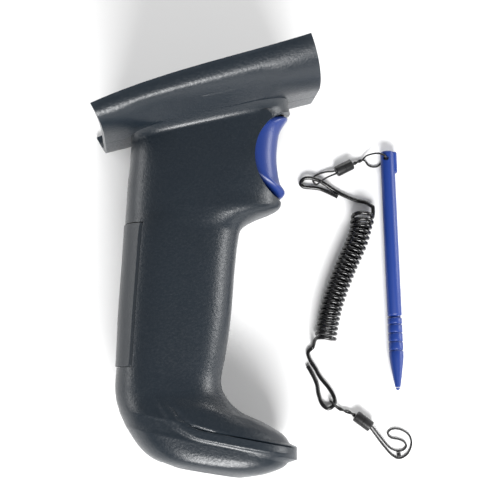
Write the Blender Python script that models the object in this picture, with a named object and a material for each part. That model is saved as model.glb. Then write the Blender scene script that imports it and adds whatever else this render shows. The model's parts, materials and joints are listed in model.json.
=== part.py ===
"""Pistol-grip trigger handle for a handheld computer, lying on its side,
with its stylus and the coiled tether of the stylus beside it.

The handle is drawn upright in its own frame: +X points forward, where the
trigger is, +Z points up towards the tray that holds the computer, and Y runs
across, with the right-hand side at -Y. A placement empty then lays it down on
its left side, so that +Z of the drawing becomes +Y of the world.
All named sizes are in millimetres and are turned into metres by MM.
"""

import math

import bmesh
import bpy
from mathutils import Matrix, Vector

MM = 0.001

# Fits
TOUCH_GAP = 0.3
SLIDE_GAP = 0.4

# Grip
WALL = 2.6
GRIP_LENGTH = 66.0
GRIP_DEPTH = 47.0
GRIP_WIDTH = 34.0
GRIP_POWER = 2.6
SEAM_HALF_GAP = 0.15

# Foot
FOOT_HEIGHT = 40.0
FOOT_WIDTH = 44.4
SOLE_WIDTH = 24.0
TOE_REACH = 27.4
TOE_LIP = 3.0
LIP_PROUD = 1.6

# Neck, where the grip flares into the tray
FLARE = 7.0
FLARE_LENGTH = 8.0

# Tray
TRAY_WIDTH = 73.6
TRAY_FLAT_WIDTH = 22.0
TRAY_LENGTH = 90.6
TRAY_SLOPE = math.radians(13.7)
TRAY_FRONT_DEPTH = 18.5
TRAY_REAR_DEPTH = 10.3
TRAY_FRONT_LEAN = math.radians(20.2)
TRAY_REAR_LEAN = math.radians(28.7)
TRAY_RIM_CROWN = 1.7
TRAY_FLOOR = 2.6
TRAY_FRONT_X = GRIP_DEPTH + 36.0
TRAY_FRONT_RISE = 53.0

# Trigger
SCOOP_RADIUS = 20.0
TRIGGER_TRAVEL = math.radians(7.0)
TRIGGER_PIN_RADIUS = 1.25
TRIGGER_PIN_COVER = 2.3
TRIGGER_PIN_LENGTH = GRIP_WIDTH - 2 * TRIGGER_PIN_COVER
TRIGGER_HUB_RADIUS = 3.0
TRIGGER_HUB_CLEARANCE = 1.8
TRIGGER_HUB_WIDTH = GRIP_WIDTH - 2 * (WALL + TRIGGER_HUB_CLEARANCE)

# Back strap
STRAP_WIDTH = 27.0
STRAP_THICKNESS = 1.3
STRAP_PROUD = 0.5
STRAP_LENGTH = 58.0
STRAP_DROP = 3.0
# The strap's cutter reaches past the surface and widens outwards
STRAP_CUT_REACH = 4.0
STRAP_CUT_SPREAD = 1.04

# Screws
SCREW_SHANK_RADIUS = 1.3
SCREW_HEAD_RADIUS = 2.7
SCREW_HEAD_HEIGHT = 2.0
SCREW_TAPER = 1.0
BOSS_RADIUS = 3.6

# Stylus
STYLUS_LENGTH = 106.0
STYLUS_DIAMETER = 6.2
STYLUS_NOSE_LENGTH = 31.7
STYLUS_NIB_RADIUS = 0.9
STYLUS_HOLE_RADIUS = 1.1
# The hole leans, so that the string leaves low on the side of the cord: place along, high end, low end
CORD_HOLE_ALONG = 3.4
CORD_HOLE_HIGH = 0.64
CORD_HOLE_LOW = 2.52
STYLUS_LEAN = math.radians(0.9)

# Tether
CORD_DIAMETER = 1.7
STRING_DIAMETER = 0.8
COIL_DIAMETER = 9.8
BEAD_DIAMETER = 4.8

# Levels and places that follow from the sizes above
HEAD_Z = FOOT_HEIGHT + GRIP_LENGTH
TRIGGER_SCOOP = (GRIP_DEPTH + 29.0, HEAD_Z + 25.3)
TRIGGER_PIVOT = (GRIP_DEPTH + 13.0, HEAD_Z + 41.0)
TRIGGER_REAR_X = GRIP_DEPTH + 3.0
SWITCH_Z = TRIGGER_PIVOT[1] - 16.0

# Trigger form
# Finger curve, from the trigger's foot up: forward of the grip's depth, above the head level
FINGER_CURVE = ((20.6, 8.6), (22.2, 10.0), (22.6, 11.6), (20.8, 14.4), (19.8, 18.8), (19.2, 26.4),
                (20.1, 34.9), (21.8, 39.2), (23.9, 42.4), (22.4, 43.2))
TRIGGER_REAR_LOW = 17.5
TRIGGER_REAR_HIGH = 37.0

# Return spring on the trigger pin: span along Y, coil radius, wire radius, turns
SPRING_PLACE = (3.0, 7.0)
SPRING_RADIUS = 2.2
SPRING_WIRE = 0.3
SPRING_TURNS = 4

# Switch
SWITCH_BODY = (9.6, 6.4, 16.0)
PLUNGER_RADIUS = 1.1
PLUNGER_TRAVEL = 2.0
LEAD_RADIUS = 0.7

# Shell screws in the side view: x, z
SHELL_SCREWS = {
    "neck": (14.0, HEAD_Z + 19.0),
    "nose": (GRIP_DEPTH - 9.0, HEAD_Z - 8.0),
    "grip": (24.0, FOOT_HEIGHT + 12.0),
    "foot": (GRIP_DEPTH + 7.0, 12.0),
}
SCREW_SEAT = 9.6
SCREW_TIP = 9.0

# Switch board and the ribs that hold it
BOARD_X = TRIGGER_REAR_X - 16.0
BOARD_THICKNESS = 1.6
BOARD_WIDTH = 22.0
BOARD_LOW = SWITCH_Z - 13.0
BOARD_HIGH = SWITCH_Z + 10.5
RIB_THICKNESS = 2.4

# Sole, its recess and the lanyard bar
SOLE_SLOPE = math.atan2(5.0, 30.0)
RECESS_REAR = 19.0
RECESS_LENGTH = 24.0
RECESS_WIDTH = 20.0
RECESS_DEPTH = 9.0
LANYARD_BAR_RADIUS = 1.2
LANYARD_BAR_LENGTH = RECESS_WIDTH + 6.0
LANYARD_BAR_PLACE = (9.4, 1.9)

# Device catch, its cup and the cradle plate, along the tray from its middle
CATCH_ALONG = -20.0
CATCH_LENGTH = 5.0
CATCH_WIDTH = 8.0
CATCH_TRAVEL = 2.0
LEAD_HOLE_RADIUS = 2.2
PLATE_THICKNESS = 2.0
PLATE_WIDTH = 30.0
PLATE_LENGTH = 64.0
PLATE_BASE = TRAY_FLOOR + TOUCH_GAP
PLATE_CHANNEL_WIDTH = 14.0
PLATE_CHANNEL_DEPTH = 0.8
CUP_DEPTH = 10.0
CUP_WALL = 1.2
PLATE_SCREW_ALONGS = (-29.0, 29.0)
PLATE_SCREW_RADIUS = 1.0
PLATE_SCREW_HEAD_RADIUS = 2.0
PLATE_SCREW_HEAD_HEIGHT = 1.0

# Contacts
CONTACT_BLOCK = (8.0, 12.0, 3.4)
CONTACT_PITCH = 2.4
CONTACT_PIN_RADIUS = 0.6
CONTACT_PIN_STAND = 1.2
CONTACT_TRAVEL = 0.9

# Catch spring
CATCH_SPRING_RADIUS = 1.3
CATCH_SPRING_WIRE = 0.25
CATCH_SPRING_TURNS = 6

# Tray slices, as shares of its length from the front
TRAY_SHARES = (0.0, 0.25, 0.5, 0.7, 0.85, 1.0)

# Stylus rings
RING_PITCH = 3.8
RING_COUNT = 4
RING_DEPTH = 0.3

# Routes on the table, measured from the stylus's top end: right, up, height
CORD_LOW = CORD_DIAMETER / 2 + 0.05
STRING_LOW = STRING_DIAMETER / 2 + 0.05
BEAD_MIDDLE = BEAD_DIAMETER / 2 + 0.1
UPPER_EYE_ROUTE = [
    (-22.3, -20.1, CORD_LOW), (-26.2, -18.1, CORD_LOW), (-30.3, -16.4, CORD_LOW), (-34.5, -15.9, CORD_LOW),
    (-37.4, -15.6, 1.2), (-38.8, -14.2, 1.6), (-37.6, -12.4, 2.1), (-34.9, -11.8, 2.35),
    (-31.2, -12.8, 2.35), (-27.6, -14.8, 1.9), (-24.0, -17.0, 1.1), (-20.0, -19.2, CORD_LOW),
    (-14.8, -21.4, CORD_LOW), (-9.8, -22.8, 1.3), (-7.0, -25.0, 2.6), (-6.6, -27.4, 4.2),
]
COIL_ROUTE = [(-11.6, -28.8), (-14.3, -40.1), (-20.3, -53.5), (-25.4, -66.7), (-27.8, -75.4), (-29.6, -85.4)]
LOWER_EYE_ROUTE = [
    (-31.6, -86.5, 1.6), (-34.6, -87.2, CORD_LOW), (-36.6, -89.3, CORD_LOW), (-35.7, -92.8, CORD_LOW),
    (-33.4, -96.6, CORD_LOW), (-31.2, -100.6, CORD_LOW), (-28.0, -104.6, CORD_LOW), (-25.7, -108.8, 1.4),
    (-25.8, -111.8, 1.9), (-28.4, -113.6, 1.9), (-31.0, -111.6, 1.3), (-32.4, -107.2, CORD_LOW),
    (-33.0, -103.2, CORD_LOW), (-34.8, -99.0, CORD_LOW), (-36.9, -95.2, CORD_LOW),
]
UPPER_PAIR_ROUTE = [(-3.7, -3.2, 2.6), (-6.0, -2.6, 1.9), (-9.2, -2.9, 1.2), (-12.4, -3.9, 1.4), (-15.3, -5.2, 2.1)]
UPPER_BEAD = ((-15.7, -5.4, BEAD_MIDDLE), (-22.9, -9.1, BEAD_MIDDLE))
UPPER_LOOP_ROUTE = [
    (-23.6, -8.6, 2.1), (-27.0, -8.7, 1.2), (-30.4, -9.5, 0.6), (-32.5, -10.7, STRING_LOW),
    (-33.1, -12.3, STRING_LOW), (-32.6, -13.8, 0.8), (-31.6, -14.8, 2.4), (-29.9, -13.8, 4.2),
    (-28.4, -12.7, 3.9), (-26.2, -11.3, 2.9), (-23.6, -10.2, 2.2),
]
LOWER_PAIR_ROUTE = [(-24.4, -113.2, 1.2), (-22.6, -114.0, 0.9), (-19.8, -115.1, 1.3), (-17.2, -116.4, 2.0)]
LOWER_BEAD = ((-16.8, -116.7, BEAD_MIDDLE), (-10.3, -121.6, BEAD_MIDDLE))
LOWER_LOOP_ROUTE = [
    (-10.3, -122.4, 2.0), (-7.5, -126.0, 0.9), (-4.2, -130.2, STRING_LOW), (-1.4, -133.3, STRING_LOW),
    (1.8, -134.8, STRING_LOW), (5.4, -132.8, STRING_LOW), (7.2, -128.6, STRING_LOW), (6.2, -124.9, STRING_LOW),
    (2.8, -122.6, STRING_LOW), (-0.8, -122.3, STRING_LOW), (-2.9, -124.0, STRING_LOW),
    (-1.5, -126.0, STRING_LOW), (1.4, -126.6, STRING_LOW), (4.0, -127.7, STRING_LOW),
    (4.9, -129.6, STRING_LOW), (3.6, -131.2, STRING_LOW), (1.2, -131.6, STRING_LOW),
    (-2.0, -130.4, STRING_LOW), (-5.5, -126.6, 1.0), (-9.3, -121.5, 2.2),
]
LOOP_SLEEVE = ((1.65, -134.0, 1.1), (1.35, -132.4, 1.1))
LOOP_SLEEVE_RADIUS = 0.9

# The stylus and tether beside the handle
SET_PLACE = (TRAY_FRONT_X + 46.0, -6.3, 0.0)
CORD_PIECES = ("string_", "cord_", "bead_", "loop_sleeve")

# Looks: colour, roughness, metallic value
SLATE = ((0.028, 0.036, 0.047), 0.42, 0.0)
STRAP_SLATE = ((0.018, 0.022, 0.028), 0.55, 0.0)
BLUE = ((0.017, 0.055, 0.28), 0.35, 0.0)
BLACK = ((0.006, 0.006, 0.007), 0.4, 0.0)
CORD_BLACK = ((0.006, 0.006, 0.007), 0.25, 0.0)
STEEL = ((0.55, 0.55, 0.56), 0.3, 1.0)
GILT = ((0.66, 0.48, 0.18), 0.3, 1.0)
BOARD_GREEN = ((0.02, 0.12, 0.05), 0.5, 0.0)


def clear_scene():
    """Remove every object the file starts with."""
    for old in list(bpy.data.objects):
        bpy.data.objects.remove(old, do_unlink=True)


def material(name, colour, roughness, metallic=0.0):
    """Principled material for one piece."""
    made = bpy.data.materials.new(name)
    made.use_nodes = True
    shader = made.node_tree.nodes["Principled BSDF"]
    shader.inputs["Base Color"].default_value = (*colour, 1.0)
    shader.inputs["Roughness"].default_value = roughness
    shader.inputs["Metallic"].default_value = metallic
    return made


def finish_piece(obj, parent, look):
    """Give a piece its own material and its parent."""
    if look is not None:
        obj.data.materials.append(material(obj.name + "_look", *look))
    if parent is not None:
        obj.parent = parent
    return obj


def mesh_object(name, shape, parent=None, look=None, smooth=False):
    """Turn a bmesh drawn in millimetres into an object in metres."""
    bmesh.ops.scale(shape, vec=(MM, MM, MM), verts=shape.verts)
    bmesh.ops.recalc_face_normals(shape, faces=shape.faces)
    data = bpy.data.meshes.new(name)
    shape.to_mesh(data)
    shape.free()
    if smooth:
        data.shade_smooth()
        data.set_sharp_from_angle(angle=math.radians(40.0))
    obj = bpy.data.objects.new(name, data)
    bpy.context.scene.collection.objects.link(obj)
    return finish_piece(obj, parent, look)


def empty(name, parent=None, location=(0.0, 0.0, 0.0), rotation=(0.0, 0.0, 0.0)):
    """Placement empty; the location is in millimetres."""
    made = bpy.data.objects.new(name, None)
    made.location = Vector(location) * MM
    made.rotation_euler = rotation
    made.parent = parent
    bpy.context.scene.collection.objects.link(made)
    return made


def loft(rings):
    """Closed skin through rings of equal point counts, capped at both ends."""
    shape = bmesh.new()
    rows = [[shape.verts.new(point) for point in ring] for ring in rings]
    count = len(rows[0])
    for lower, upper in zip(rows, rows[1:]):
        for i in range(count):
            j = (i + 1) % count
            shape.faces.new((lower[i], lower[j], upper[j], upper[i]))
    shape.faces.new(rows[0])
    shape.faces.new(rows[-1])
    return shape


def box(low, high):
    """Box between two corners, in millimetres."""
    shape = bmesh.new()
    size = [b - a for a, b in zip(low, high)]
    centre = [(a + b) / 2 for a, b in zip(low, high)]
    matrix = Matrix.Translation(centre) @ Matrix.Diagonal((*size, 1.0))
    bmesh.ops.create_cube(shape, size=1.0, matrix=matrix)
    return shape


def cylinder(radius, start, end, segments=20, end_radius=None):
    """Cylinder or cone between two points, in millimetres."""
    shape = bmesh.new()
    start, end = Vector(start), Vector(end)
    axis = end - start
    turn = Vector((0, 0, 1)).rotation_difference(axis.normalized()).to_matrix().to_4x4()
    matrix = Matrix.Translation((start + end) / 2) @ turn
    far = radius if end_radius is None else end_radius
    bmesh.ops.create_cone(shape, cap_ends=True, segments=segments, radius1=radius,
                          radius2=far, depth=axis.length, matrix=matrix)
    return shape


def boolean(target, operation, shape, name):
    """Add a Boolean modifier whose operand is a hidden guide object."""
    guide = mesh_object(name, shape, parent=target.parent, smooth=True)
    guide.hide_render = True
    guide.display_type = "WIRE"
    modifier = target.modifiers.new(name, "BOOLEAN")
    modifier.operation = operation
    modifier.solver = "EXACT"
    modifier.object = guide
    return guide


def signed_power(value, power):
    """Keep the sign while raising the size of a value to a power."""
    return math.copysign(abs(value) ** power, value)


# ---------------------------------------------------------------- grip form

def foot_stations():
    """Slices of the foot, sole first: back point, front point, half width."""
    sole, foot, grip = SOLE_WIDTH / 2, FOOT_WIDTH / 2, GRIP_WIDTH / 2
    toe = GRIP_DEPTH + TOE_REACH
    inner_toe = toe - TOE_LIP
    side = foot - LIP_PROUD
    return [
        ((22.0, 5.2), (52.0, 0.2), sole),
        ((14.8, 8.6), (61.0, 1.6), sole + 5.5),
        ((9.6, 13.4), (inner_toe - 3.4, 4.0), side - 1.0),
        ((4.4, 21.2), (inner_toe - 0.6, 6.2), side),
        ((3.6, 23.0), (toe, 7.4), foot),
        ((2.0, 26.5), (toe, 12.6), foot),
        ((1.6, 28.0), (inner_toe, 14.0), side),
        ((0.7, 31.0), (inner_toe - 3.0, 17.8), side - 0.9),
        ((0.1, 35.0), (GRIP_DEPTH + 13.0, 22.8), grip + 1.6),
        ((0.1, 39.0), (GRIP_DEPTH + 4.0, 27.0), grip + 0.8),
        ((0.4, 43.0), (GRIP_DEPTH - 1.8, 33.0), grip + 0.3),
        ((0.6, 47.0), (GRIP_DEPTH - 3.7, 39.5), grip),
    ]


def grip_stations():
    """Slices of the grip between the foot and the finger nose."""
    grip, depth, top = GRIP_WIDTH / 2, GRIP_DEPTH, HEAD_Z
    return [
        ((1.0, FOOT_HEIGHT + 16.0), (depth - 1.8, FOOT_HEIGHT + 10.5), grip),
        ((1.3, FOOT_HEIGHT + 26.0), (depth + 0.2, FOOT_HEIGHT + 25.0), grip),
        ((2.5, top - 21.0), (depth + 1.8, top - 21.0), grip),
        ((3.2, top - 9.0), (depth + 3.2, top - 8.6), grip),
        ((3.4, top - 5.0), (depth + 4.8, top - 3.7), grip),
        ((3.5, top - 2.0), (depth + 10.0, top - 0.2), grip + 0.1),
        ((3.6, top + 0.5), (depth + 17.0, top + 2.7), grip + 0.2),
        ((3.7, top + 2.5), (depth + 20.3, top + 4.7), grip + 0.3),
        ((3.9, top + 5.0), (depth + 21.2, top + 6.9), grip + 0.3),
        ((4.1, top + 9.0), (depth + 21.4, top + 11.5), grip + 0.3),
    ]


def tray_edge(share):
    """Underside point, rim point of the tray at a share of its length, front to rear."""
    along = Vector((math.cos(TRAY_SLOPE), math.sin(TRAY_SLOPE)))
    front = Vector((TRAY_FRONT_X, HEAD_Z + TRAY_FRONT_RISE))
    rear = front - along * TRAY_LENGTH
    rim_front = front + TRAY_FRONT_DEPTH * Vector((-math.sin(TRAY_FRONT_LEAN), math.cos(TRAY_FRONT_LEAN)))
    rim_rear = rear + TRAY_REAR_DEPTH * Vector((-math.sin(TRAY_REAR_LEAN), math.cos(TRAY_REAR_LEAN)))
    crown = TRAY_RIM_CROWN * 6.75 * share * share * (1.0 - share)
    return front.lerp(rear, share), rim_front.lerp(rim_rear, share) + Vector((0.0, crown))


def under_tray(x, height):
    """Point of the side view at a height above the tray's underside line."""
    front = tray_edge(0.0)[0]
    line = front.y + (x - front.x) * math.tan(TRAY_SLOPE)
    return x, line + height / math.cos(TRAY_SLOPE)


def neck_stations():
    """Slices of the neck, parallel to the tray's underside, widening upwards."""
    slices = []
    for height, back, front in ((-21.0, 4.2, 28.3), (-17.0, 4.6, 28.0), (-13.0, 5.0, 27.3),
                                (-9.0, 5.3, 26.2), (-5.0, 5.6, 24.9), (-2.0, 5.7, 24.2),
                                (0.5, 5.6, 24.0), (2.4, 5.2, 24.1), (3.8, 4.6, 24.3)):
        width = GRIP_WIDTH / 2 + FLARE * math.exp(height / FLARE_LENGTH)
        slices.append((under_tray(back, height), under_tray(GRIP_DEPTH + front, height), width))
    top = slices[-1][2] - 1.5
    slices.append((under_tray(6.6, 7.5), under_tray(GRIP_DEPTH + 22.0, 7.5), top))
    return slices


def section(back, front, half_width, power=GRIP_POWER, count=28):
    """Rounded slice spanned by the line from back to front and the Y axis."""
    ring = []
    for i in range(count):
        angle = 2 * math.pi * i / count
        along = signed_power(math.cos(angle), 2 / power)
        across = signed_power(math.sin(angle), 2 / power)
        x = (back[0] + front[0]) / 2 + (front[0] - back[0]) / 2 * along
        z = (back[1] + front[1]) / 2 + (front[1] - back[1]) / 2 * along
        ring.append((x, half_width * across, z))
    return ring


def inset(station, amount):
    """Same slice, drawn in by a wall thickness."""
    back, front, half_width = station
    back, front = Vector(back), Vector(front)
    step = (front - back).normalized() * amount
    return tuple(back + step), tuple(front - step), half_width - amount


def grip_shape():
    """Outer form of foot, grip and neck."""
    stations = foot_stations() + grip_stations() + neck_stations()
    return loft([section(*station) for station in stations])


def cavity_shape():
    """Hollow of foot, grip and neck."""
    stations = foot_stations()[6:] + grip_stations() + neck_stations()[:6]
    return loft([section(*inset(station, WALL)) for station in stations])


# ---------------------------------------------------------------- tray form

def tray_half_section(share, drawn_in, floor, points=8):
    """Half of the tray's section from the middle of its underside to its rim."""
    under, rim = tray_edge(share)
    down = under - rim
    depth = down.length
    down.normalize()
    power = 2.0 + share
    flat = TRAY_FLAT_WIDTH / 2
    reach = TRAY_WIDTH / 2 - drawn_in - flat
    outline = [(0.0, rim + down * (depth - floor))]
    for i in range(points):
        angle = math.pi / 2 * (1 - i / (points - 1))
        across = flat + reach * math.cos(angle) ** (2 / power) if i else flat
        level = (depth - floor) * math.sin(angle) ** (2 / power) if i < points - 1 else 0.0
        outline.append((across, rim + down * level))
    return outline, rim, down


def tray_ring(share, drawn_in, floor, lift):
    """Closed ring across the tray; lift carries the rim outwards, for a cutter."""
    half, rim, down = tray_half_section(share, drawn_in, floor)
    if lift:
        half.append((half[-1][0], rim - down * lift))
    right = [(p.x, -across, p.y) for across, p in half]
    left = [(p.x, across, p.y) for across, p in reversed(half[1:])]
    return right + left


def tray_shape():
    """Solid outer form of the tray, before its trough is cut."""
    return loft([tray_ring(share, 0.0, 0.0, 0.0) for share in TRAY_SHARES])


def trough_shape():
    """The space inside the tray, run out past both ends and above the rim."""
    rings = [tray_ring(share, WALL, TRAY_FLOOR, 8.0) for share in TRAY_SHARES]
    along = Vector((math.cos(TRAY_SLOPE), 0.0, math.sin(TRAY_SLOPE)))
    front = [tuple(Vector(p) + along * 4.0) for p in rings[0]]
    rear = [tuple(Vector(p) - along * 4.0) for p in rings[-1]]
    return loft([front] + rings + [rear])


def on_tray(along, across, height):
    """Point of the handle frame from tray coordinates: forward, to the left, up."""
    middle = tray_edge(0.5)[0]
    c, s = math.cos(TRAY_SLOPE), math.sin(TRAY_SLOPE)
    return (middle.x + along * c - height * s, across, middle.y + along * s + height * c)


def tray_box(low, high):
    """Box aligned with the tray's underside."""
    shape = box(low, high)
    turn = Matrix.Rotation(-TRAY_SLOPE, 4, "Y")
    middle = tray_edge(0.5)[0]
    shift = Matrix.Translation((middle.x, 0.0, middle.y))
    bmesh.ops.transform(shape, matrix=shift @ turn, verts=shape.verts)
    return shape


# ---------------------------------------------------------------- shells

def height_at(station, x):
    """Height of a slanted slice where it passes a place in the side view."""
    back, front = station[0], station[1]
    return back[1] + (front[1] - back[1]) * (x - back[0]) / (front[0] - back[0])


def slice_through(x, level):
    """Slice of the outer form that passes through a point of the side view."""
    stations = foot_stations() + grip_stations() + neck_stations()
    for lower, upper in zip(stations, stations[1:]):
        low, high = height_at(lower, x), height_at(upper, x)
        if low <= level <= high:
            share = (level - low) / (high - low)
            back = Vector(lower[0]).lerp(Vector(upper[0]), share)
            front = Vector(lower[1]).lerp(Vector(upper[1]), share)
            return tuple(back), tuple(front), lower[2] + (upper[2] - lower[2]) * share
    return stations[-1]


def half_width_at(x, level, drawn_in=0.0):
    """Half width of the grip's form at a place in the side view, drawn in by an amount."""
    back, front, half = inset(slice_through(x, level), drawn_in)
    centre, reach = (back[0] + front[0]) / 2, (front[0] - back[0]) / 2
    share = min(abs(x - centre) / reach, 1.0)
    return half * (1 - share ** GRIP_POWER) ** (1 / GRIP_POWER)


def station_at(stations, level):
    """Level slice between two stations whose back point is at a level."""
    for lower, upper in zip(stations, stations[1:]):
        if lower[0][1] <= level <= upper[0][1]:
            share = (level - lower[0][1]) / (upper[0][1] - lower[0][1])
            back = Vector(lower[0]).lerp(Vector(upper[0]), share)
            front = Vector(lower[1]).lerp(Vector(upper[1]), share)
            return tuple(back), (front.x, back.y), lower[2] + (upper[2] - lower[2]) * share
    return stations[-1]


def on_sole(along, across, height):
    """Point of the handle frame from sole coordinates: forward, to the left, up."""
    c, s = math.cos(SOLE_SLOPE), math.sin(SOLE_SLOPE)
    start_z = 5.2 + (22.0 - RECESS_REAR) * math.tan(SOLE_SLOPE)
    return (RECESS_REAR + along * c + height * s, across, start_z - along * s + height * c)


def sole_box(low, high):
    """Box aligned with the sole."""
    shape = box(low, high)
    place = Matrix.Translation(on_sole(0.0, 0.0, 0.0)) @ Matrix.Rotation(SOLE_SLOPE, 4, "Y")
    bmesh.ops.transform(shape, matrix=place, verts=shape.verts)
    return shape


def strap_ring(slice_at, outward, inward, width, spread):
    """Thin ring hugging the back of one level slice, its outer side spread wider."""
    back, front, half_width = slice_at
    centre, reach = (back[0] + front[0]) / 2, (front[0] - back[0]) / 2
    outer, inner = [], []
    steps = 12
    for i in range(steps + 1):
        across = width * (i / steps - 0.5)
        share = (1 - (abs(across) / half_width) ** GRIP_POWER) ** (1 / GRIP_POWER)
        x = centre - reach * share
        outer.append((x - outward, across * spread, back[1]))
        inner.append((x + inward, across, back[1]))
    return outer + inner[::-1]


def strap_shape(outward, inward, margin, spread=1.0):
    """Strip along the back of the grip, following the grip's slices."""
    high = HEAD_Z - STRAP_DROP + margin
    low = high - STRAP_LENGTH - 2 * margin
    stations = foot_stations()[8:] + grip_stations()
    levels = [low + (high - low) * i / 5 for i in range(6)]
    width = STRAP_WIDTH + 2 * margin
    slices = [station_at(stations, level) for level in levels]
    return loft([strap_ring(slice_at, outward, inward, width, spread) for slice_at in slices])


def post_reach(x, z, radius):
    """How far out a round post can run and still end inside the wall."""
    widths = [half_width_at(x, z)]
    for step in range(8):
        angle = math.pi / 4 * step
        widths.append(half_width_at(x + radius * math.cos(angle), z + radius * math.sin(angle)))
    return min(widths) - WALL / 4


def shell_posts(side):
    """Posts inside one shell; side is -1 for the right shell and +1 for the left."""
    posts = []
    for x, z in SHELL_SCREWS.values():
        reach = side * post_reach(x, z, BOSS_RADIUS)
        posts.append(cylinder(BOSS_RADIUS, (x, 0.0, z), (x, reach, z), 16))
    x, z = TRIGGER_PIVOT
    near = side * (TRIGGER_HUB_WIDTH / 2 + SLIDE_GAP)
    far = side * post_reach(x, z, TRIGGER_HUB_RADIUS)
    posts.append(cylinder(TRIGGER_HUB_RADIUS, (x, near, z), (x, far, z), 16))
    return posts


def board_ribs(side):
    """Ribs that the switch board rests against, in one shell."""
    ribs = []
    for level in (BOARD_LOW + 3.0, BOARD_HIGH - 3.0):
        far = half_width_at(BOARD_X, level) - WALL / 2
        across = sorted((side * (BOARD_WIDTH / 2 - 3.0), side * far))
        rear = BOARD_X - TOUCH_GAP - RIB_THICKNESS
        low = (rear, across[0], level - RIB_THICKNESS / 2)
        ribs.append(box(low, (rear + RIB_THICKNESS, across[1], level + RIB_THICKNESS / 2)))
    return ribs


def shell_cuts():
    """Everything that is cut out of both shells after they are hollow."""
    cuts = {}
    for key, (x, z) in SHELL_SCREWS.items():
        tip, seat = -SCREW_TIP - TOUCH_GAP, SCREW_SEAT
        cuts[key + "_shank"] = cylinder(SCREW_SHANK_RADIUS + TOUCH_GAP, (x, tip, z), (x, seat + 1.0, z), 14)
        cuts[key + "_head"] = cylinder(SCREW_HEAD_RADIUS + TOUCH_GAP, (x, seat, z), (x, FOOT_WIDTH, z), 16)
    x, z = TRIGGER_SCOOP
    cuts["scoop"] = cylinder(SCOOP_RADIUS, (x, -TRAY_WIDTH, z), (x, TRAY_WIDTH, z), 72)
    x, z = TRIGGER_PIVOT
    half = TRIGGER_PIN_LENGTH / 2 + TOUCH_GAP
    cuts["pivot"] = cylinder(TRIGGER_PIN_RADIUS + TOUCH_GAP, (x, -half, z), (x, half, z), 14)
    cuts["strap"] = strap_shape(STRAP_CUT_REACH, STRAP_THICKNESS + TOUCH_GAP, TOUCH_GAP, STRAP_CUT_SPREAD)
    half = RECESS_WIDTH / 2
    cuts["recess"] = sole_box((0.0, -half, -8.0), (RECESS_LENGTH, half, RECESS_DEPTH))
    along, height = LANYARD_BAR_PLACE
    half = LANYARD_BAR_LENGTH / 2 + TOUCH_GAP
    start, end = on_sole(along, -half, height), on_sole(along, half, height)
    cuts["bar"] = cylinder(LANYARD_BAR_RADIUS + TOUCH_GAP, start, end, 14)
    start, end = on_tray(0.0, 0.0, -6.0), on_tray(0.0, 0.0, TRAY_FLOOR + 1.0)
    cuts["lead"] = cylinder(LEAD_HOLE_RADIUS, start, end, 16)
    half = CATCH_WIDTH / 2 + CUP_WALL + 2 * SLIDE_GAP
    reach = CATCH_LENGTH / 2 + CUP_WALL + 2 * SLIDE_GAP
    low = (CATCH_ALONG - reach, -half, -CUP_DEPTH - TOUCH_GAP)
    cuts["cup"] = tray_box(low, (CATCH_ALONG + reach, half, TRAY_FLOOR + 1.0))
    for along in PLATE_SCREW_ALONGS:
        start, end = on_tray(along, 0.0, 0.4), on_tray(along, 0.0, TRAY_FLOOR + 1.0)
        name = "plate_screw_rear" if along < 0 else "plate_screw_front"
        cuts[name] = cylinder(PLATE_SCREW_RADIUS + TOUCH_GAP, start, end, 12)
    return cuts


def add_shell(name, side, parent, look):
    """One half of the handle, from the foot to the tray's rim."""
    shell = mesh_object(name, grip_shape(), parent, look, smooth=True)
    boolean(shell, "UNION", tray_shape(), name + "_tray_form")
    boolean(shell, "DIFFERENCE", cavity_shape(), name + "_cavity_form")
    for number, post in enumerate(shell_posts(side) + board_ribs(side)):
        boolean(shell, "UNION", post, f"{name}_post_form_{number}")
    boolean(shell, "DIFFERENCE", trough_shape(), name + "_trough_form")
    for key, cutter in shell_cuts().items():
        boolean(shell, "DIFFERENCE", cutter, f"{name}_{key}_form")
    reach = TRAY_WIDTH
    across = sorted((side * SEAM_HALF_GAP, side * reach))
    half_space = box((-reach, across[0], -reach), (2 * reach, across[1], 3 * reach))
    boolean(shell, "INTERSECT", half_space, name + "_side_form")
    return shell


def add_screw(name, start, direction, shank, head, parent):
    """Pan-head screw: start is under its head, direction points to its tip."""
    shank_radius, length = shank
    head_radius, head_height = head
    head_profile = [(-head_height, head_radius * 0.8), (-head_height * 0.6, head_radius), (0.0, head_radius)]
    taper = shank_radius * 0.5
    shank_profile = [(0.0, shank_radius), (length - SCREW_TAPER, shank_radius), (length, taper)]
    shape = turned(head_profile + shank_profile, 14)
    turn = Vector((1, 0, 0)).rotation_difference(Vector(direction)).to_matrix().to_4x4()
    bmesh.ops.transform(shape, matrix=Matrix.Translation(start) @ turn, verts=shape.verts)
    return mesh_object(name, shape, parent, STEEL, smooth=True)


def turned(profile, segments=16):
    """Solid of revolution about local X from (distance, radius) pairs."""
    rings = []
    for along, radius in profile:
        ring = []
        for i in range(segments):
            angle = 2 * math.pi * i / segments
            ring.append((along, radius * math.cos(angle), radius * math.sin(angle)))
        rings.append(ring)
    return loft(rings)


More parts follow.
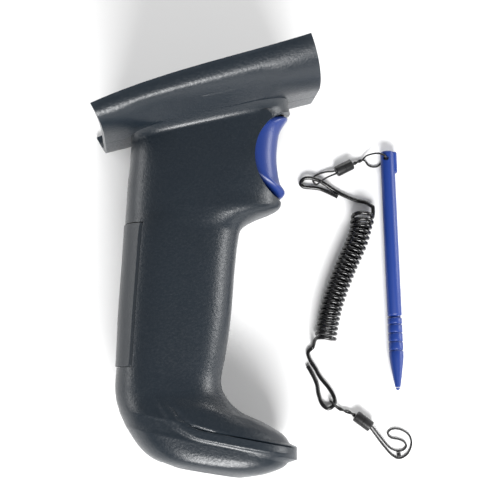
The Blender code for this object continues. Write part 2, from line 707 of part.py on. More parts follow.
def add_handle_fixings(parent):
    """Screws, back strap, sole insert and lanyard bar."""
    for key, (x, z) in SHELL_SCREWS.items():
        seat = SCREW_SEAT + TOUCH_GAP
        shank = (SCREW_SHANK_RADIUS, seat + SCREW_TIP - TOUCH_GAP)
        head = (SCREW_HEAD_RADIUS, SCREW_HEAD_HEIGHT)
        add_screw(f"shell_screw_{key}", (x, seat, z), (0, -1, 0), shank, head, parent)
    strap = strap_shape(STRAP_PROUD, STRAP_THICKNESS, 0.0)
    mesh_object("back_strap", strap, parent, STRAP_SLATE, smooth=True)
    half = RECESS_WIDTH / 2 - TOUCH_GAP
    insert = sole_box((13.6, -half, 1.0), (RECESS_LENGTH - TOUCH_GAP, half, RECESS_DEPTH - TOUCH_GAP))
    mesh_object("sole_insert", insert, parent, BLACK)
    along, height = LANYARD_BAR_PLACE
    half = LANYARD_BAR_LENGTH / 2
    bar = cylinder(LANYARD_BAR_RADIUS, on_sole(along, -half, height), on_sole(along, half, height), 16)
    mesh_object("lanyard_bar", bar, parent, STEEL, smooth=True)


# ---------------------------------------------------------------- trigger

def trigger_room(x, z):
    """Half width left for the trigger at a place in the side view."""
    widest = TRIGGER_HUB_WIDTH / 2
    if math.dist((x, z), TRIGGER_SCOOP) < SCOOP_RADIUS:
        return widest
    return min(widest, half_width_at(x, z, WALL + SLIDE_GAP))


def pulled(x, z):
    """Where a point of the side view goes when the trigger is fully pulled."""
    dx, dz = x - TRIGGER_PIVOT[0], z - TRIGGER_PIVOT[1]
    c, s = math.cos(TRIGGER_TRAVEL), math.sin(TRIGGER_TRAVEL)
    return TRIGGER_PIVOT[0] + dx * c + dz * s, TRIGGER_PIVOT[1] + dz * c - dx * s


def trigger_ring(front, rear, points=8):
    """Slanted slice of the trigger: straight sides that close to a rounded front."""
    spots = [tuple(Vector(rear).lerp(Vector(front), math.sin(math.pi / 2 * i / points))) for i in range(points)]
    room = min(min(trigger_room(*spot), trigger_room(*pulled(*spot))) for spot in spots)
    side = []
    for i, (x, z) in enumerate(spots):
        share = math.sin(math.pi / 2 * i / points)
        side.append((x, room * (1 - share ** 3) ** (1 / 3), z))
    mirrored = [(x, -across, z) for x, across, z in reversed(side)]
    return side + [(front[0], 0.0, front[1])] + mirrored


def add_trigger(parent):
    """Trigger with its hub, on an empty that stands on the pivot axis."""
    pivot_x, pivot_z = TRIGGER_PIVOT
    pivot = empty("trigger_pivot", parent, (pivot_x, 0.0, pivot_z))
    last = len(FINGER_CURVE) - 1
    rings = []
    for i, (forward, up) in enumerate(FINGER_CURVE):
        rear_up = TRIGGER_REAR_LOW + (TRIGGER_REAR_HIGH - TRIGGER_REAR_LOW) * i / last
        front = (GRIP_DEPTH + forward, HEAD_Z + up)
        rings.append(trigger_ring(front, (TRIGGER_REAR_X, HEAD_Z + rear_up)))
    body = loft(rings)
    bmesh.ops.translate(body, vec=(-pivot_x, 0.0, -pivot_z), verts=body.verts)
    trigger = mesh_object("trigger", body, pivot, BLUE, smooth=True)
    half = TRIGGER_HUB_WIDTH / 2
    hub = cylinder(TRIGGER_HUB_RADIUS, (0, -half, 0), (0, half, 0), 20)
    boolean(trigger, "UNION", hub, "trigger_hub_form")
    bore = cylinder(TRIGGER_PIN_RADIUS + TOUCH_GAP, (0, -half - 1, 0), (0, half + 1, 0), 14)
    boolean(trigger, "DIFFERENCE", bore, "trigger_bore_form")
    start, end = SPRING_PLACE
    room = cylinder(TRIGGER_HUB_RADIUS + 2.0, (0, start - 0.8, 0), (0, end + 0.8, 0), 20)
    boolean(trigger, "DIFFERENCE", room, "trigger_spring_room_form")
    half = TRIGGER_PIN_LENGTH / 2
    pin = cylinder(TRIGGER_PIN_RADIUS, (pivot_x, -half, pivot_z), (pivot_x, half, pivot_z), 16)
    mesh_object("trigger_pin", pin, parent, STEEL, smooth=True)
    return pivot


def add_tube(name, points, radius, parent, look, bevel_resolution=2):
    """Round tube along points given in millimetres."""
    curve = bpy.data.curves.new(name, "CURVE")
    curve.dimensions = "3D"
    curve.bevel_depth = radius * MM
    curve.bevel_resolution = bevel_resolution
    curve.use_fill_caps = True
    spline = curve.splines.new("POLY")
    spline.points.add(len(points) - 1)
    for target, point in zip(spline.points, points):
        target.co = (*(Vector(point) * MM), 1.0)
    obj = bpy.data.objects.new(name, curve)
    bpy.context.scene.collection.objects.link(obj)
    return finish_piece(obj, parent, look)


def add_trigger_spring(parent):
    """Torsion spring round the trigger pin, with two short legs."""
    start, end = SPRING_PLACE
    x, z = TRIGGER_PIVOT
    steps = SPRING_TURNS * 12
    points = []
    for i in range(steps + 1):
        angle = 2 * math.pi * SPRING_TURNS * i / steps
        across = start + (end - start) * i / steps
        points.append((x + SPRING_RADIUS * math.cos(angle), across, z + SPRING_RADIUS * math.sin(angle)))
    first, last = points[0], points[-1]
    points.insert(0, (first[0], first[1], first[2] - 1.6))
    points.append((last[0], last[1], last[2] + 1.6))
    add_tube("trigger_spring", points, SPRING_WIRE, parent, STEEL, 1)


# ---------------------------------------------------------------- switch

def add_switch(parent):
    """Board, switch body, plunger and the lead up to the tray's contact block."""
    half = BOARD_WIDTH / 2
    board = box((BOARD_X, -half, BOARD_LOW), (BOARD_X + BOARD_THICKNESS, half, BOARD_HIGH))
    mesh_object("switch_board", board, parent, BOARD_GREEN)
    depth, width, height = SWITCH_BODY
    rear = BOARD_X + BOARD_THICKNESS + TOUCH_GAP
    front = rear + depth
    low = (rear, -width / 2, SWITCH_Z - height / 2)
    body = mesh_object("switch_body", box(low, (front, width / 2, SWITCH_Z + height / 2)), parent,
                       BLACK)
    tip = TRIGGER_REAR_X - TOUCH_GAP
    inner = front - 4.0
    hole_end = inner - PLUNGER_TRAVEL - TOUCH_GAP
    hole = cylinder(PLUNGER_RADIUS + SLIDE_GAP, (hole_end, 0, SWITCH_Z), (front + 1, 0, SWITCH_Z), 14)
    boolean(body, "DIFFERENCE", hole, "switch_hole_form")
    plunger = cylinder(PLUNGER_RADIUS, (inner, 0, SWITCH_Z), (tip, 0, SWITCH_Z), 14)
    mesh_object("switch_plunger", plunger, parent, BLUE, smooth=True)
    foot_x = BOARD_X + BOARD_THICKNESS + TOUCH_GAP + LEAD_RADIUS
    top = on_tray(0.0, 0.0, PLATE_BASE)
    route = [(foot_x, 0.0, BOARD_HIGH - 1.6), (foot_x, 0.0, BOARD_HIGH + 0.6)]
    route += [on_tray(0.0, 0.0, -2.0), on_tray(0.0, 0.0, 0.5), top]
    add_tube("switch_lead", smooth_route(route, 1.2), LEAD_RADIUS, parent, CORD_BLACK)


def smooth_route(knots, spacing):
    """Points along a Catmull-Rom curve through knots, about one spacing apart."""
    knots = [Vector(k) for k in knots]
    padded = [knots[0] * 2 - knots[1]] + knots + [knots[-1] * 2 - knots[-2]]
    points = []
    for a, b, c, d in zip(padded, padded[1:], padded[2:], padded[3:]):
        steps = max(1, round((c - b).length / spacing))
        for i in range(steps):
            t = i / steps
            points.append(0.5 * (2 * b + (c - a) * t + (2 * a - 5 * b + 4 * c - d) * t * t
                                 + (3 * b - a - 3 * c + d) * t * t * t))
    points.append(knots[-1])
    return [tuple(p) for p in points]


# ---------------------------------------------------------------- tray fittings

def add_tray_fittings(parent):
    """Cradle plate, contact block with four pins, and the sprung device catch."""
    half = PLATE_LENGTH / 2
    seat = PLATE_BASE + PLATE_THICKNESS
    top = seat - PLATE_CHANNEL_DEPTH
    low = (-half, -PLATE_WIDTH / 2, PLATE_BASE)
    plate = mesh_object("cradle_plate", tray_box(low, (half, PLATE_WIDTH / 2, seat)), parent, BLACK)
    wide = PLATE_CHANNEL_WIDTH / 2
    channel = tray_box((-half - 1.0, -wide, top), (half + 1.0, wide, seat + 1.0))
    boolean(plate, "DIFFERENCE", channel, "plate_channel_form")
    reach = CATCH_LENGTH / 2 + SLIDE_GAP
    wide = CATCH_WIDTH / 2 + SLIDE_GAP
    slot = tray_box((CATCH_ALONG - reach, -wide, 0.0), (CATCH_ALONG + reach, wide, top + 1.0))
    boolean(plate, "DIFFERENCE", slot, "plate_slot_form")
    hole = cylinder(LEAD_HOLE_RADIUS, on_tray(0, 0, 0), on_tray(0, 0, top + 1), 16)
    boolean(plate, "DIFFERENCE", hole, "plate_lead_form")
    for along in PLATE_SCREW_ALONGS:
        name = "rear" if along < 0 else "front"
        hole = cylinder(PLATE_SCREW_RADIUS + TOUCH_GAP, on_tray(along, 0, 0), on_tray(along, 0, top + 1), 12)
        boolean(plate, "DIFFERENCE", hole, f"plate_{name}_screw_form")
        head = on_tray(along, 0.0, top + TOUCH_GAP)
        down = Vector(on_tray(0, 0, -1)) - Vector(on_tray(0, 0, 0))
        length = top + TOUCH_GAP - 0.7
        add_screw(f"cradle_screw_{name}", head, down, (PLATE_SCREW_RADIUS, length),
                  (PLATE_SCREW_HEAD_RADIUS, PLATE_SCREW_HEAD_HEIGHT), parent)
    add_contacts(parent, top)
    add_catch(parent, seat)


def add_contacts(parent, top):
    """Contact block over the lead hole, with a row of four sprung pins."""
    length, width, height = CONTACT_BLOCK
    base = top + TOUCH_GAP
    low = (-length / 2, -width / 2, base)
    block = mesh_object("contact_block", tray_box(low, (length / 2, width / 2, base + height)), parent,
                        BLACK)
    pin_low = base + 0.8 + CONTACT_TRAVEL
    for number in range(4):
        across = CONTACT_PITCH * (number - 1.5)
        start = on_tray(2.0, across, base + 0.5)
        hole = cylinder(CONTACT_PIN_RADIUS + SLIDE_GAP, start, on_tray(2.0, across, base + height + 1), 12)
        boolean(block, "DIFFERENCE", hole, f"block_pin_form_{number}")
        tip = on_tray(2.0, across, base + height + CONTACT_PIN_STAND)
        pin = cylinder(CONTACT_PIN_RADIUS, on_tray(2.0, across, pin_low), tip, 12)
        mesh_object(f"contact_pin_{number + 1}", pin, parent, GILT, smooth=True)


def add_catch(parent, top):
    """Sprung wedge that holds the computer, in a cup under the tray's floor."""
    reach, wide = CATCH_LENGTH / 2, CATCH_WIDTH / 2
    room = SLIDE_GAP + CUP_WALL
    low = (CATCH_ALONG - reach - room, -wide - room, -CUP_DEPTH)
    cup = mesh_object("catch_cup", tray_box(low, (CATCH_ALONG + reach + room, wide + room, TRAY_FLOOR - 0.4)),
                      parent, BLACK)
    low = (CATCH_ALONG - reach - SLIDE_GAP, -wide - SLIDE_GAP, -CUP_DEPTH + CUP_WALL)
    high = (CATCH_ALONG + reach + SLIDE_GAP, wide + SLIDE_GAP, TRAY_FLOOR + 1.0)
    boolean(cup, "DIFFERENCE", tray_box(low, high), "cup_bore_form")
    bottom = -CUP_DEPTH + CUP_WALL + SLIDE_GAP + CATCH_TRAVEL
    catch = mesh_object("device_catch", catch_shape(bottom, top + 3.0), parent, BLUE)
    bore_top = top - 1.6
    bore = cylinder(CATCH_SPRING_RADIUS + CATCH_SPRING_WIRE + SLIDE_GAP, on_tray(CATCH_ALONG, 0, bottom - 1),
                    on_tray(CATCH_ALONG, 0, bore_top), 16)
    boolean(catch, "DIFFERENCE", bore, "catch_bore_form")
    start = -CUP_DEPTH + CUP_WALL + TOUCH_GAP + CATCH_SPRING_WIRE
    end = bore_top - CATCH_TRAVEL - TOUCH_GAP - CATCH_SPRING_WIRE
    steps = CATCH_SPRING_TURNS * 10
    points = []
    for i in range(steps + 1):
        angle = 2 * math.pi * CATCH_SPRING_TURNS * i / steps
        along = CATCH_ALONG + CATCH_SPRING_RADIUS * math.cos(angle)
        height = start + (end - start) * i / steps
        points.append(on_tray(along, CATCH_SPRING_RADIUS * math.sin(angle), height))
    add_tube("catch_spring", points, CATCH_SPRING_WIRE, parent, STEEL, 1)


def catch_shape(bottom, tip):
    """Catch block whose top slopes down towards the rear."""
    reach, wide = CATCH_LENGTH / 2, CATCH_WIDTH / 2
    outline = [(-reach, bottom), (reach, bottom), (reach, tip), (reach - 1.4, tip), (-reach, tip - 2.4)]
    rings = []
    for across in (-wide, wide):
        rings.append([on_tray(CATCH_ALONG + along, across, height) for along, height in outline])
    return loft(rings)


# ---------------------------------------------------------------- placement

def resting_matrix():
    """Turn that lays the upright handle down on its left side.

    It rests on the two ends of the tray's left rim and on the foot's left side.
    """
    rim_front, rim_rear = tray_edge(0.0)[1], tray_edge(1.0)[1]
    half = TRAY_WIDTH / 2
    corner = Vector((rim_rear.x, half, rim_rear.y))
    rim = Vector((rim_front.x, half, rim_front.y)) - corner
    best = None
    for station in foot_stations():
        for point in section(*station, count=56):
            normal = rim.cross(Vector(point) - corner).normalized()
            if best is None or normal.z > best.z:
                best = normal
    up = -best
    forward = (Vector((1, 0, 0)) - up * up.x).normalized()
    turn = Matrix((forward, up.cross(forward), up)).to_4x4()
    return turn @ Matrix.Translation(-corner * MM)


def add_handle(table):
    """The whole handle, on an empty that lays it on its side."""
    place = empty("handle_place", table)
    place.matrix_local = resting_matrix()
    add_shell("right_shell", -1, place, SLATE)
    add_shell("left_shell", 1, place, SLATE)
    add_handle_fixings(place)
    add_trigger(place)
    add_trigger_spring(place)
    add_switch(place)
    add_tray_fittings(place)
    return place


# ---------------------------------------------------------------- stylus

def add_stylus(set_place):
    """Stylus lying on the table: barrel with lug and cord hole, ringed nose, nib."""
    radius = STYLUS_DIAMETER / 2
    turn = (0.0, 0.0, -math.pi / 2 + STYLUS_LEAN)
    place = empty("stylus_place", set_place, (0.0, 0.0, radius), turn)
    split = STYLUS_LENGTH - STYLUS_NOSE_LENGTH
    barrel_profile = ((0.0, radius - 0.7), (0.7, radius), (split - 1.0, radius), (split - 0.4, radius - 0.5),
                      (split, radius - 0.5))
    barrel = mesh_object("stylus_barrel", turned(barrel_profile, 20), place, BLUE, smooth=True)
    lug = box((0.7, radius - 1.6, -1.5), (9.8, radius + 1.0, 1.5))
    boolean(barrel, "UNION", lug, "stylus_lug_form")
    high = (CORD_HOLE_ALONG, -CORD_HOLE_HIGH, radius + 1.0)
    low = (CORD_HOLE_ALONG, -CORD_HOLE_LOW, -radius - 1.0)
    hole = cylinder(STYLUS_HOLE_RADIUS, low, high, 14)
    boolean(barrel, "DIFFERENCE", hole, "stylus_hole_form")
    profile = [(split + TOUCH_GAP, radius - 0.5), (split + 0.8, radius)]
    for number in range(RING_COUNT):
        at = split + 3.2 + RING_PITCH * number
        profile += [(at - 0.4, radius), (at, radius - RING_DEPTH), (at + 0.4, radius)]
    profile += [(STYLUS_LENGTH - 12.8, radius - 0.1), (STYLUS_LENGTH - 1.4, STYLUS_NIB_RADIUS + 0.25)]
    mesh_object("stylus_nose", turned(profile, 20), place, BLUE, smooth=True)
    tip = STYLUS_LENGTH - 1.4 + TOUCH_GAP
    nib_profile = ((tip, STYLUS_NIB_RADIUS), (tip + 0.6, STYLUS_NIB_RADIUS), (STYLUS_LENGTH, 0.4))
    mesh_object("stylus_nib", turned(nib_profile, 14), place, BLUE, smooth=True)


# ---------------------------------------------------------------- tether

def add_tether(set_place):
    """Coiled cord with an eye at each end, two beads and the string loops."""
    pair_radius = STRING_DIAMETER * 0.8
    string_radius = STRING_DIAMETER / 2
    cord_radius = CORD_DIAMETER / 2
    look = CORD_BLACK
    add_tube("string_at_stylus", smooth_route(UPPER_PAIR_ROUTE, 2.4), pair_radius, set_place, look)
    add_tube("string_loop_upper", smooth_route(UPPER_LOOP_ROUTE, 1.6), string_radius, set_place, look)
    add_tube("cord_upper_eye", smooth_route(UPPER_EYE_ROUTE, 3.0), cord_radius, set_place, look)
    add_tube("cord_lower_eye", smooth_route(LOWER_EYE_ROUTE, 3.0), cord_radius, set_place, look)
    add_tube("string_at_eye", smooth_route(LOWER_PAIR_ROUTE, 2.4), pair_radius, set_place, look)
    add_tube("string_loop_lower", smooth_route(LOWER_LOOP_ROUTE, 2.0), string_radius, set_place, look)
    axis = [(x, y, COIL_DIAMETER / 2 + 0.05) for x, y in COIL_ROUTE]
    add_tube("cord_coil", smooth_route(axis, 12.0), COIL_DIAMETER / 2, set_place, look)
    for name, (start, end) in (("bead_upper", UPPER_BEAD), ("bead_lower", LOWER_BEAD)):
        bead = cylinder(BEAD_DIAMETER / 2, start, end, 18)
        mesh_object(name, bead, set_place, BLACK, smooth=True)
    sleeve = cylinder(LOOP_SLEEVE_RADIUS, *LOOP_SLEEVE, 12)
    mesh_object("loop_sleeve", sleeve, set_place, BLACK, smooth=True)


# ---------------------------------------------------------------- assembly

def stand_on_origin(table):
    """Move the set so that the origin is under the middle of its box, cords left out."""
    bpy.context.view_layer.update()
    graph = bpy.context.evaluated_depsgraph_get()
    corners = []
    for obj in bpy.data.objects:
        if obj.type != "MESH" or obj.hide_render or obj.name.startswith(CORD_PIECES):
            continue
        evaluated = obj.evaluated_get(graph)
        mesh = evaluated.to_mesh()
        corners += [obj.matrix_world @ vertex.co for vertex in mesh.vertices]
        evaluated.to_mesh_clear()
    low = Vector([min(p[axis] for p in corners) for axis in range(3)])
    high = Vector([max(p[axis] for p in corners) for axis in range(3)])
    table.location = (-(low.x + high.x) / 2, -(low.y + high.y) / 2, -low.z)
    bpy.context.view_layer.update()


def main():
    """Build the whole set."""
    clear_scene()
    table = empty("table")
    add_handle(table)
    set_place = empty("stylus_set", table, SET_PLACE)
    add_stylus(set_place)
    add_tether(set_place)
    stand_on_origin(table)


main()
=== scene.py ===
"""Looks for the trigger handle, its stylus and the coiled tether.

The forms repeat the CAD model's own formulas with finer steps. The handle is
drawn upright in its own frame, in millimetres, and HANDLE lays it on its side.
"""

import json
import math

import bmesh
import bpy
from mathutils import Matrix, Vector


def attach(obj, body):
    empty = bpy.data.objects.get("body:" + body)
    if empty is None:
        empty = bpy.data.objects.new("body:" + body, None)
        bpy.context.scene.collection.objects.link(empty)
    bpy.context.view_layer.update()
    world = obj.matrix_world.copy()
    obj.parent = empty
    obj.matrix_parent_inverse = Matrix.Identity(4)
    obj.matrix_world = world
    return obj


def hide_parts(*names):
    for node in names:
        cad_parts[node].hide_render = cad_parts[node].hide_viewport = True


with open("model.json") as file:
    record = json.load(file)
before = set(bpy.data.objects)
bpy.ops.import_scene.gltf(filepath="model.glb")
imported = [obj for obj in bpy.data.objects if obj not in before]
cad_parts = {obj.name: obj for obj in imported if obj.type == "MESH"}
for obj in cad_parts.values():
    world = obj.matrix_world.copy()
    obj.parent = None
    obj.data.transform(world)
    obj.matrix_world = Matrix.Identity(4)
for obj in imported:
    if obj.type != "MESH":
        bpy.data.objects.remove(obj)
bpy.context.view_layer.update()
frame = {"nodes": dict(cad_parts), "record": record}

MM = 0.001

# Fits
TOUCH_GAP = 0.3
SLIDE_GAP = 0.4

# Grip
WALL = 2.6
GRIP_LENGTH = 66.0
GRIP_DEPTH = 47.0
GRIP_WIDTH = 34.0
GRIP_POWER = 2.6
SEAM_HALF_GAP = 0.15

# Foot
FOOT_HEIGHT = 40.0
FOOT_WIDTH = 44.4
SOLE_WIDTH = 24.0
TOE_REACH = 27.4
TOE_LIP = 3.0
LIP_PROUD = 1.6

# Neck, where the grip flares into the tray
FLARE = 7.0
FLARE_LENGTH = 8.0

# Tray
TRAY_WIDTH = 73.6
TRAY_FLAT_WIDTH = 22.0
TRAY_LENGTH = 90.6
TRAY_SLOPE = math.radians(13.7)
TRAY_FRONT_DEPTH = 18.5
TRAY_REAR_DEPTH = 10.3
TRAY_FRONT_LEAN = math.radians(20.2)
TRAY_REAR_LEAN = math.radians(28.7)
TRAY_RIM_CROWN = 1.7
TRAY_FLOOR = 2.6
TRAY_FRONT_X = GRIP_DEPTH + 36.0
TRAY_FRONT_RISE = 53.0

# Trigger
SCOOP_RADIUS = 20.0
TRIGGER_TRAVEL = math.radians(7.0)
TRIGGER_PIN_RADIUS = 1.25
TRIGGER_PIN_COVER = 2.3
TRIGGER_PIN_LENGTH = GRIP_WIDTH - 2 * TRIGGER_PIN_COVER
TRIGGER_HUB_RADIUS = 3.0
TRIGGER_HUB_CLEARANCE = 1.8
TRIGGER_HUB_WIDTH = GRIP_WIDTH - 2 * (WALL + TRIGGER_HUB_CLEARANCE)

# Back strap
STRAP_WIDTH = 27.0
STRAP_THICKNESS = 1.3
STRAP_PROUD = 0.5
STRAP_LENGTH = 58.0
STRAP_DROP = 3.0
# The strap's cutter reaches past the surface and widens outwards
STRAP_CUT_REACH = 4.0
STRAP_CUT_SPREAD = 1.04

# Screws
SCREW_SHANK_RADIUS = 1.3
SCREW_HEAD_RADIUS = 2.7
BOSS_RADIUS = 3.6

# Stylus
STYLUS_LENGTH = 106.0
STYLUS_DIAMETER = 6.2
STYLUS_NOSE_LENGTH = 31.7
STYLUS_NIB_RADIUS = 0.9
STYLUS_HOLE_RADIUS = 1.1
# The cord hole leans, so that the string leaves low: place along, high end, low end
CORD_HOLE_ALONG = 3.4
CORD_HOLE_HIGH = 0.64
CORD_HOLE_LOW = 2.52
STYLUS_LEAN = math.radians(0.9)

# Tether
CORD_DIAMETER = 1.7
STRING_DIAMETER = 0.8
COIL_DIAMETER = 9.8
BEAD_DIAMETER = 4.8

# Levels and places that follow from the sizes above
HEAD_Z = FOOT_HEIGHT + GRIP_LENGTH
TRIGGER_SCOOP = (GRIP_DEPTH + 29.0, HEAD_Z + 25.3)
TRIGGER_PIVOT = (GRIP_DEPTH + 13.0, HEAD_Z + 41.0)
TRIGGER_REAR_X = GRIP_DEPTH + 3.0
SWITCH_Z = TRIGGER_PIVOT[1] - 16.0

# Trigger form
# Finger curve, from the trigger's foot up: forward of the grip's depth, above the head level
FINGER_CURVE = ((20.6, 8.6), (22.2, 10.0), (22.6, 11.6), (20.8, 14.4), (19.8, 18.8), (19.2, 26.4),
                (20.1, 34.9), (21.8, 39.2), (23.9, 42.4), (22.4, 43.2))
TRIGGER_REAR_LOW = 17.5
TRIGGER_REAR_HIGH = 37.0

# Room for the return spring on the trigger pin: span along Y
SPRING_PLACE = (3.0, 7.0)

# Shell screws in the side view: x, z
SHELL_SCREWS = {
    "neck": (14.0, HEAD_Z + 19.0),
    "nose": (GRIP_DEPTH - 9.0, HEAD_Z - 8.0),
    "grip": (24.0, FOOT_HEIGHT + 12.0),
    "foot": (GRIP_DEPTH + 7.0, 12.0),
}
SCREW_SEAT = 9.6
SCREW_TIP = 9.0

# Switch board and the ribs that hold it
BOARD_X = TRIGGER_REAR_X - 16.0
BOARD_WIDTH = 22.0
BOARD_LOW = SWITCH_Z - 13.0
BOARD_HIGH = SWITCH_Z + 10.5
RIB_THICKNESS = 2.4

# Sole, its recess and the lanyard bar
SOLE_SLOPE = math.atan2(5.0, 30.0)
RECESS_REAR = 19.0
RECESS_LENGTH = 24.0
RECESS_WIDTH = 20.0
RECESS_DEPTH = 9.0
LANYARD_BAR_RADIUS = 1.2
LANYARD_BAR_LENGTH = RECESS_WIDTH + 6.0
LANYARD_BAR_PLACE = (9.4, 1.9)

# Device catch, its cup and the cradle plate, along the tray from its middle
CATCH_ALONG = -20.0
CATCH_LENGTH = 5.0
CATCH_WIDTH = 8.0
LEAD_HOLE_RADIUS = 2.2
PLATE_WIDTH = 30.0
CUP_DEPTH = 10.0
CUP_WALL = 1.2
PLATE_SCREW_ALONGS = (-29.0, 29.0)
PLATE_SCREW_RADIUS = 1.0

# Stylus rings
RING_PITCH = 3.8
RING_COUNT = 4
RING_DEPTH = 0.3

# Routes on the table, measured from the stylus's top end: right, up, height
CORD_LOW = CORD_DIAMETER / 2 + 0.05
STRING_LOW = STRING_DIAMETER / 2 + 0.05
BEAD_MIDDLE = BEAD_DIAMETER / 2 + 0.1
UPPER_EYE_ROUTE = [
    (-22.3, -20.1, CORD_LOW), (-26.2, -18.1, CORD_LOW), (-30.3, -16.4, CORD_LOW), (-34.5, -15.9, CORD_LOW),
    (-37.4, -15.6, 1.2), (-38.8, -14.2, 1.6), (-37.6, -12.4, 2.1), (-34.9, -11.8, 2.35),
    (-31.2, -12.8, 2.35), (-27.6, -14.8, 1.9), (-24.0, -17.0, 1.1), (-20.0, -19.2, CORD_LOW),
    (-14.8, -21.4, CORD_LOW), (-9.8, -22.8, 1.3), (-7.0, -25.0, 2.6), (-6.6, -27.4, 4.2),
]
COIL_ROUTE = [(-11.6, -28.8), (-14.3, -40.1), (-20.3, -53.5), (-25.4, -66.7), (-27.8, -75.4), (-29.6, -85.4)]
LOWER_EYE_ROUTE = [
    (-31.6, -86.5, 1.6), (-34.6, -87.2, CORD_LOW), (-36.6, -89.3, CORD_LOW), (-35.7, -92.8, CORD_LOW),
    (-33.4, -96.6, CORD_LOW), (-31.2, -100.6, CORD_LOW), (-28.0, -104.6, CORD_LOW), (-25.7, -108.8, 1.4),
    (-25.8, -111.8, 1.9), (-28.4, -113.6, 1.9), (-31.0, -111.6, 1.3), (-32.4, -107.2, CORD_LOW),
    (-33.0, -103.2, CORD_LOW), (-34.8, -99.0, CORD_LOW), (-36.9, -95.2, CORD_LOW),
]
UPPER_BEAD = ((-15.7, -5.4, BEAD_MIDDLE), (-22.9, -9.1, BEAD_MIDDLE))
UPPER_LOOP_ROUTE = [
    (-23.6, -8.6, 2.1), (-27.0, -8.7, 1.2), (-30.4, -9.5, 0.6), (-32.5, -10.7, STRING_LOW),
    (-33.1, -12.3, STRING_LOW), (-32.6, -13.8, 0.8), (-31.6, -14.8, 2.4), (-29.9, -13.8, 4.2),
    (-28.4, -12.7, 3.9), (-26.2, -11.3, 2.9), (-23.6, -10.2, 2.2),
]
LOWER_BEAD = ((-16.8, -116.7, BEAD_MIDDLE), (-10.3, -121.6, BEAD_MIDDLE))
LOWER_LOOP_ROUTE = [
    (-10.3, -122.4, 2.0), (-7.5, -126.0, 0.9), (-4.2, -130.2, STRING_LOW), (-1.4, -133.3, STRING_LOW),
    (1.8, -134.8, STRING_LOW), (5.4, -132.8, STRING_LOW), (7.2, -128.6, STRING_LOW),
    (6.2, -124.9, STRING_LOW), (2.8, -122.6, STRING_LOW), (-0.8, -122.3, STRING_LOW),
    (-2.9, -124.0, STRING_LOW),
    (-1.5, -126.0, STRING_LOW), (1.4, -126.6, STRING_LOW), (4.0, -127.7, STRING_LOW),
    (4.9, -129.6, STRING_LOW), (3.6, -131.2, STRING_LOW), (1.2, -131.6, STRING_LOW),
    (-2.0, -130.4, STRING_LOW), (-5.5, -126.6, 1.0), (-9.3, -121.5, 2.2),
]
LOOP_SLEEVE = ((1.65, -134.0, 1.1), (1.35, -132.4, 1.1))
LOOP_SLEEVE_RADIUS = 0.9

# The stylus and tether beside the handle
SET_PLACE = (TRAY_FRONT_X + 46.0, -6.3, 0.0)

# Coil: turns, points in a turn, and the loose turns at its upper end
COIL_TURNS = 25.5
TURN_STEPS = 20
LOOSE_TURNS = 2.5
LOOSE_WIDENING = 0.16
LOOSE_TILT = 0.30

# Thin strings: spacing of a twisted pair, and the hitches at the stylus and at the cord's eye
PAIR_SPACING = 0.44
HITCH_HIGH = [
    (-9.6, -2.6, 1.3), (-9.3, -1.5, 1.6), (-7.6, -1.0, 2.6), (-5.2, -1.0, 4.6), (-3.2, -1.7, 6.2),
    (-1.6, -2.8, 6.9), (-0.95, -3.35, 6.2), (-1.2, -3.4, 4.8),
]
HITCH_LOW = [
    (-1.7, -3.5, 2.6), (-2.1, -3.8, 1.3), (-2.9, -4.9, 0.6), (-4.2, -5.9, 0.5), (-6.2, -6.2, 0.5),
    (-8.2, -5.4, 0.5), (-9.4, -3.9, 0.8), (-9.8, -2.9, 1.0),
]
EYE_HITCH = [
    (-24.4, -113.0, 2.3), (-25.4, -112.3, 3.2), (-26.6, -111.2, 3.2), (-27.6, -110.4, 2.0),
    (-27.2, -110.6, 0.7), (-25.8, -112.0, 0.46), (-24.2, -113.4, 0.6),
]

# Bead: rounding of its rim, waist groove and cord hole
BEAD_ROUNDING = 0.55
BEAD_WAIST = 0.12
BEAD_BORE = (0.95, 1.15)
BEAD_BORE_DEPTH = 0.25

# Stylus: rounded top, lug beside it, waist before the nose and length of the taper
CROWN_ROUNDING = 0.9
LUG_LENGTH = 9.8
LUG_PROUD = 1.0
LUG_DEPTH = 2.2
LUG_HALF_WIDTH = 1.5
LUG_ROUNDING = 0.8
WAIST_DEPTH = 0.5
RING_FIRST = 3.2
TAPER_LENGTH = 14.6
TIP_LENGTH = 1.4
TIP_RIM = 0.25
TAPER_POWER = 1.15

# Neck's sides roll out to the tray in an S: where the curve starts and where it joins the tray's own
# section, as shares of the tray's depth
NECK_HALF = GRIP_WIDTH / 2 + 0.3
ROLL_START = -0.28
ROLL_END = 0.62
ROLL_STEP = 0.02

# Where the roll fades out beyond the neck, as shares of the tray's length: front, then rear
ROLL_FRONT = (0.17, 0.27)
ROLL_REAR = (0.74, 0.92)

# Raised band round the foot in the side view: its upper and its lower line, from the toe to the heel
BAND_TOP = (
    (78.0, 11.4), (70.9, 13.0), (52.0, 16.6), (40.0, 18.8), (33.7, 20.4), (28.0, 23.2), (24.4, 27.0),
    (22.0, 31.0), (20.6, 35.5),
)
BAND_LOW = (
    (78.0, 8.6), (68.9, 9.6), (54.0, 12.0), (41.5, 14.4), (33.0, 16.2), (28.0, 18.4), (23.0, 22.0),
    (19.4, 26.8), (17.2, 31.0), (16.0, 35.5),
)
BAND_PROUD = 0.9
BAND_STEP = 0.9
BAND_FADE = (27.0, 35.0)
BAND_INNER = 4.0
BAND_BLEND = 8.0

# Tray: slices along it, points in half a section, and half width that stays clear for the plate
TRAY_SLICES = 36
TRAY_POINTS = 26
FLOOR_HALF = PLATE_WIDTH / 2 + TOUCH_GAP

# Posts and ribs end inside the neck's wall
POST_LIMIT = NECK_HALF - WALL / 2

# Angle above which an edge is drawn sharp or rounded off, in degrees
SHARP_ANGLE = 35.0

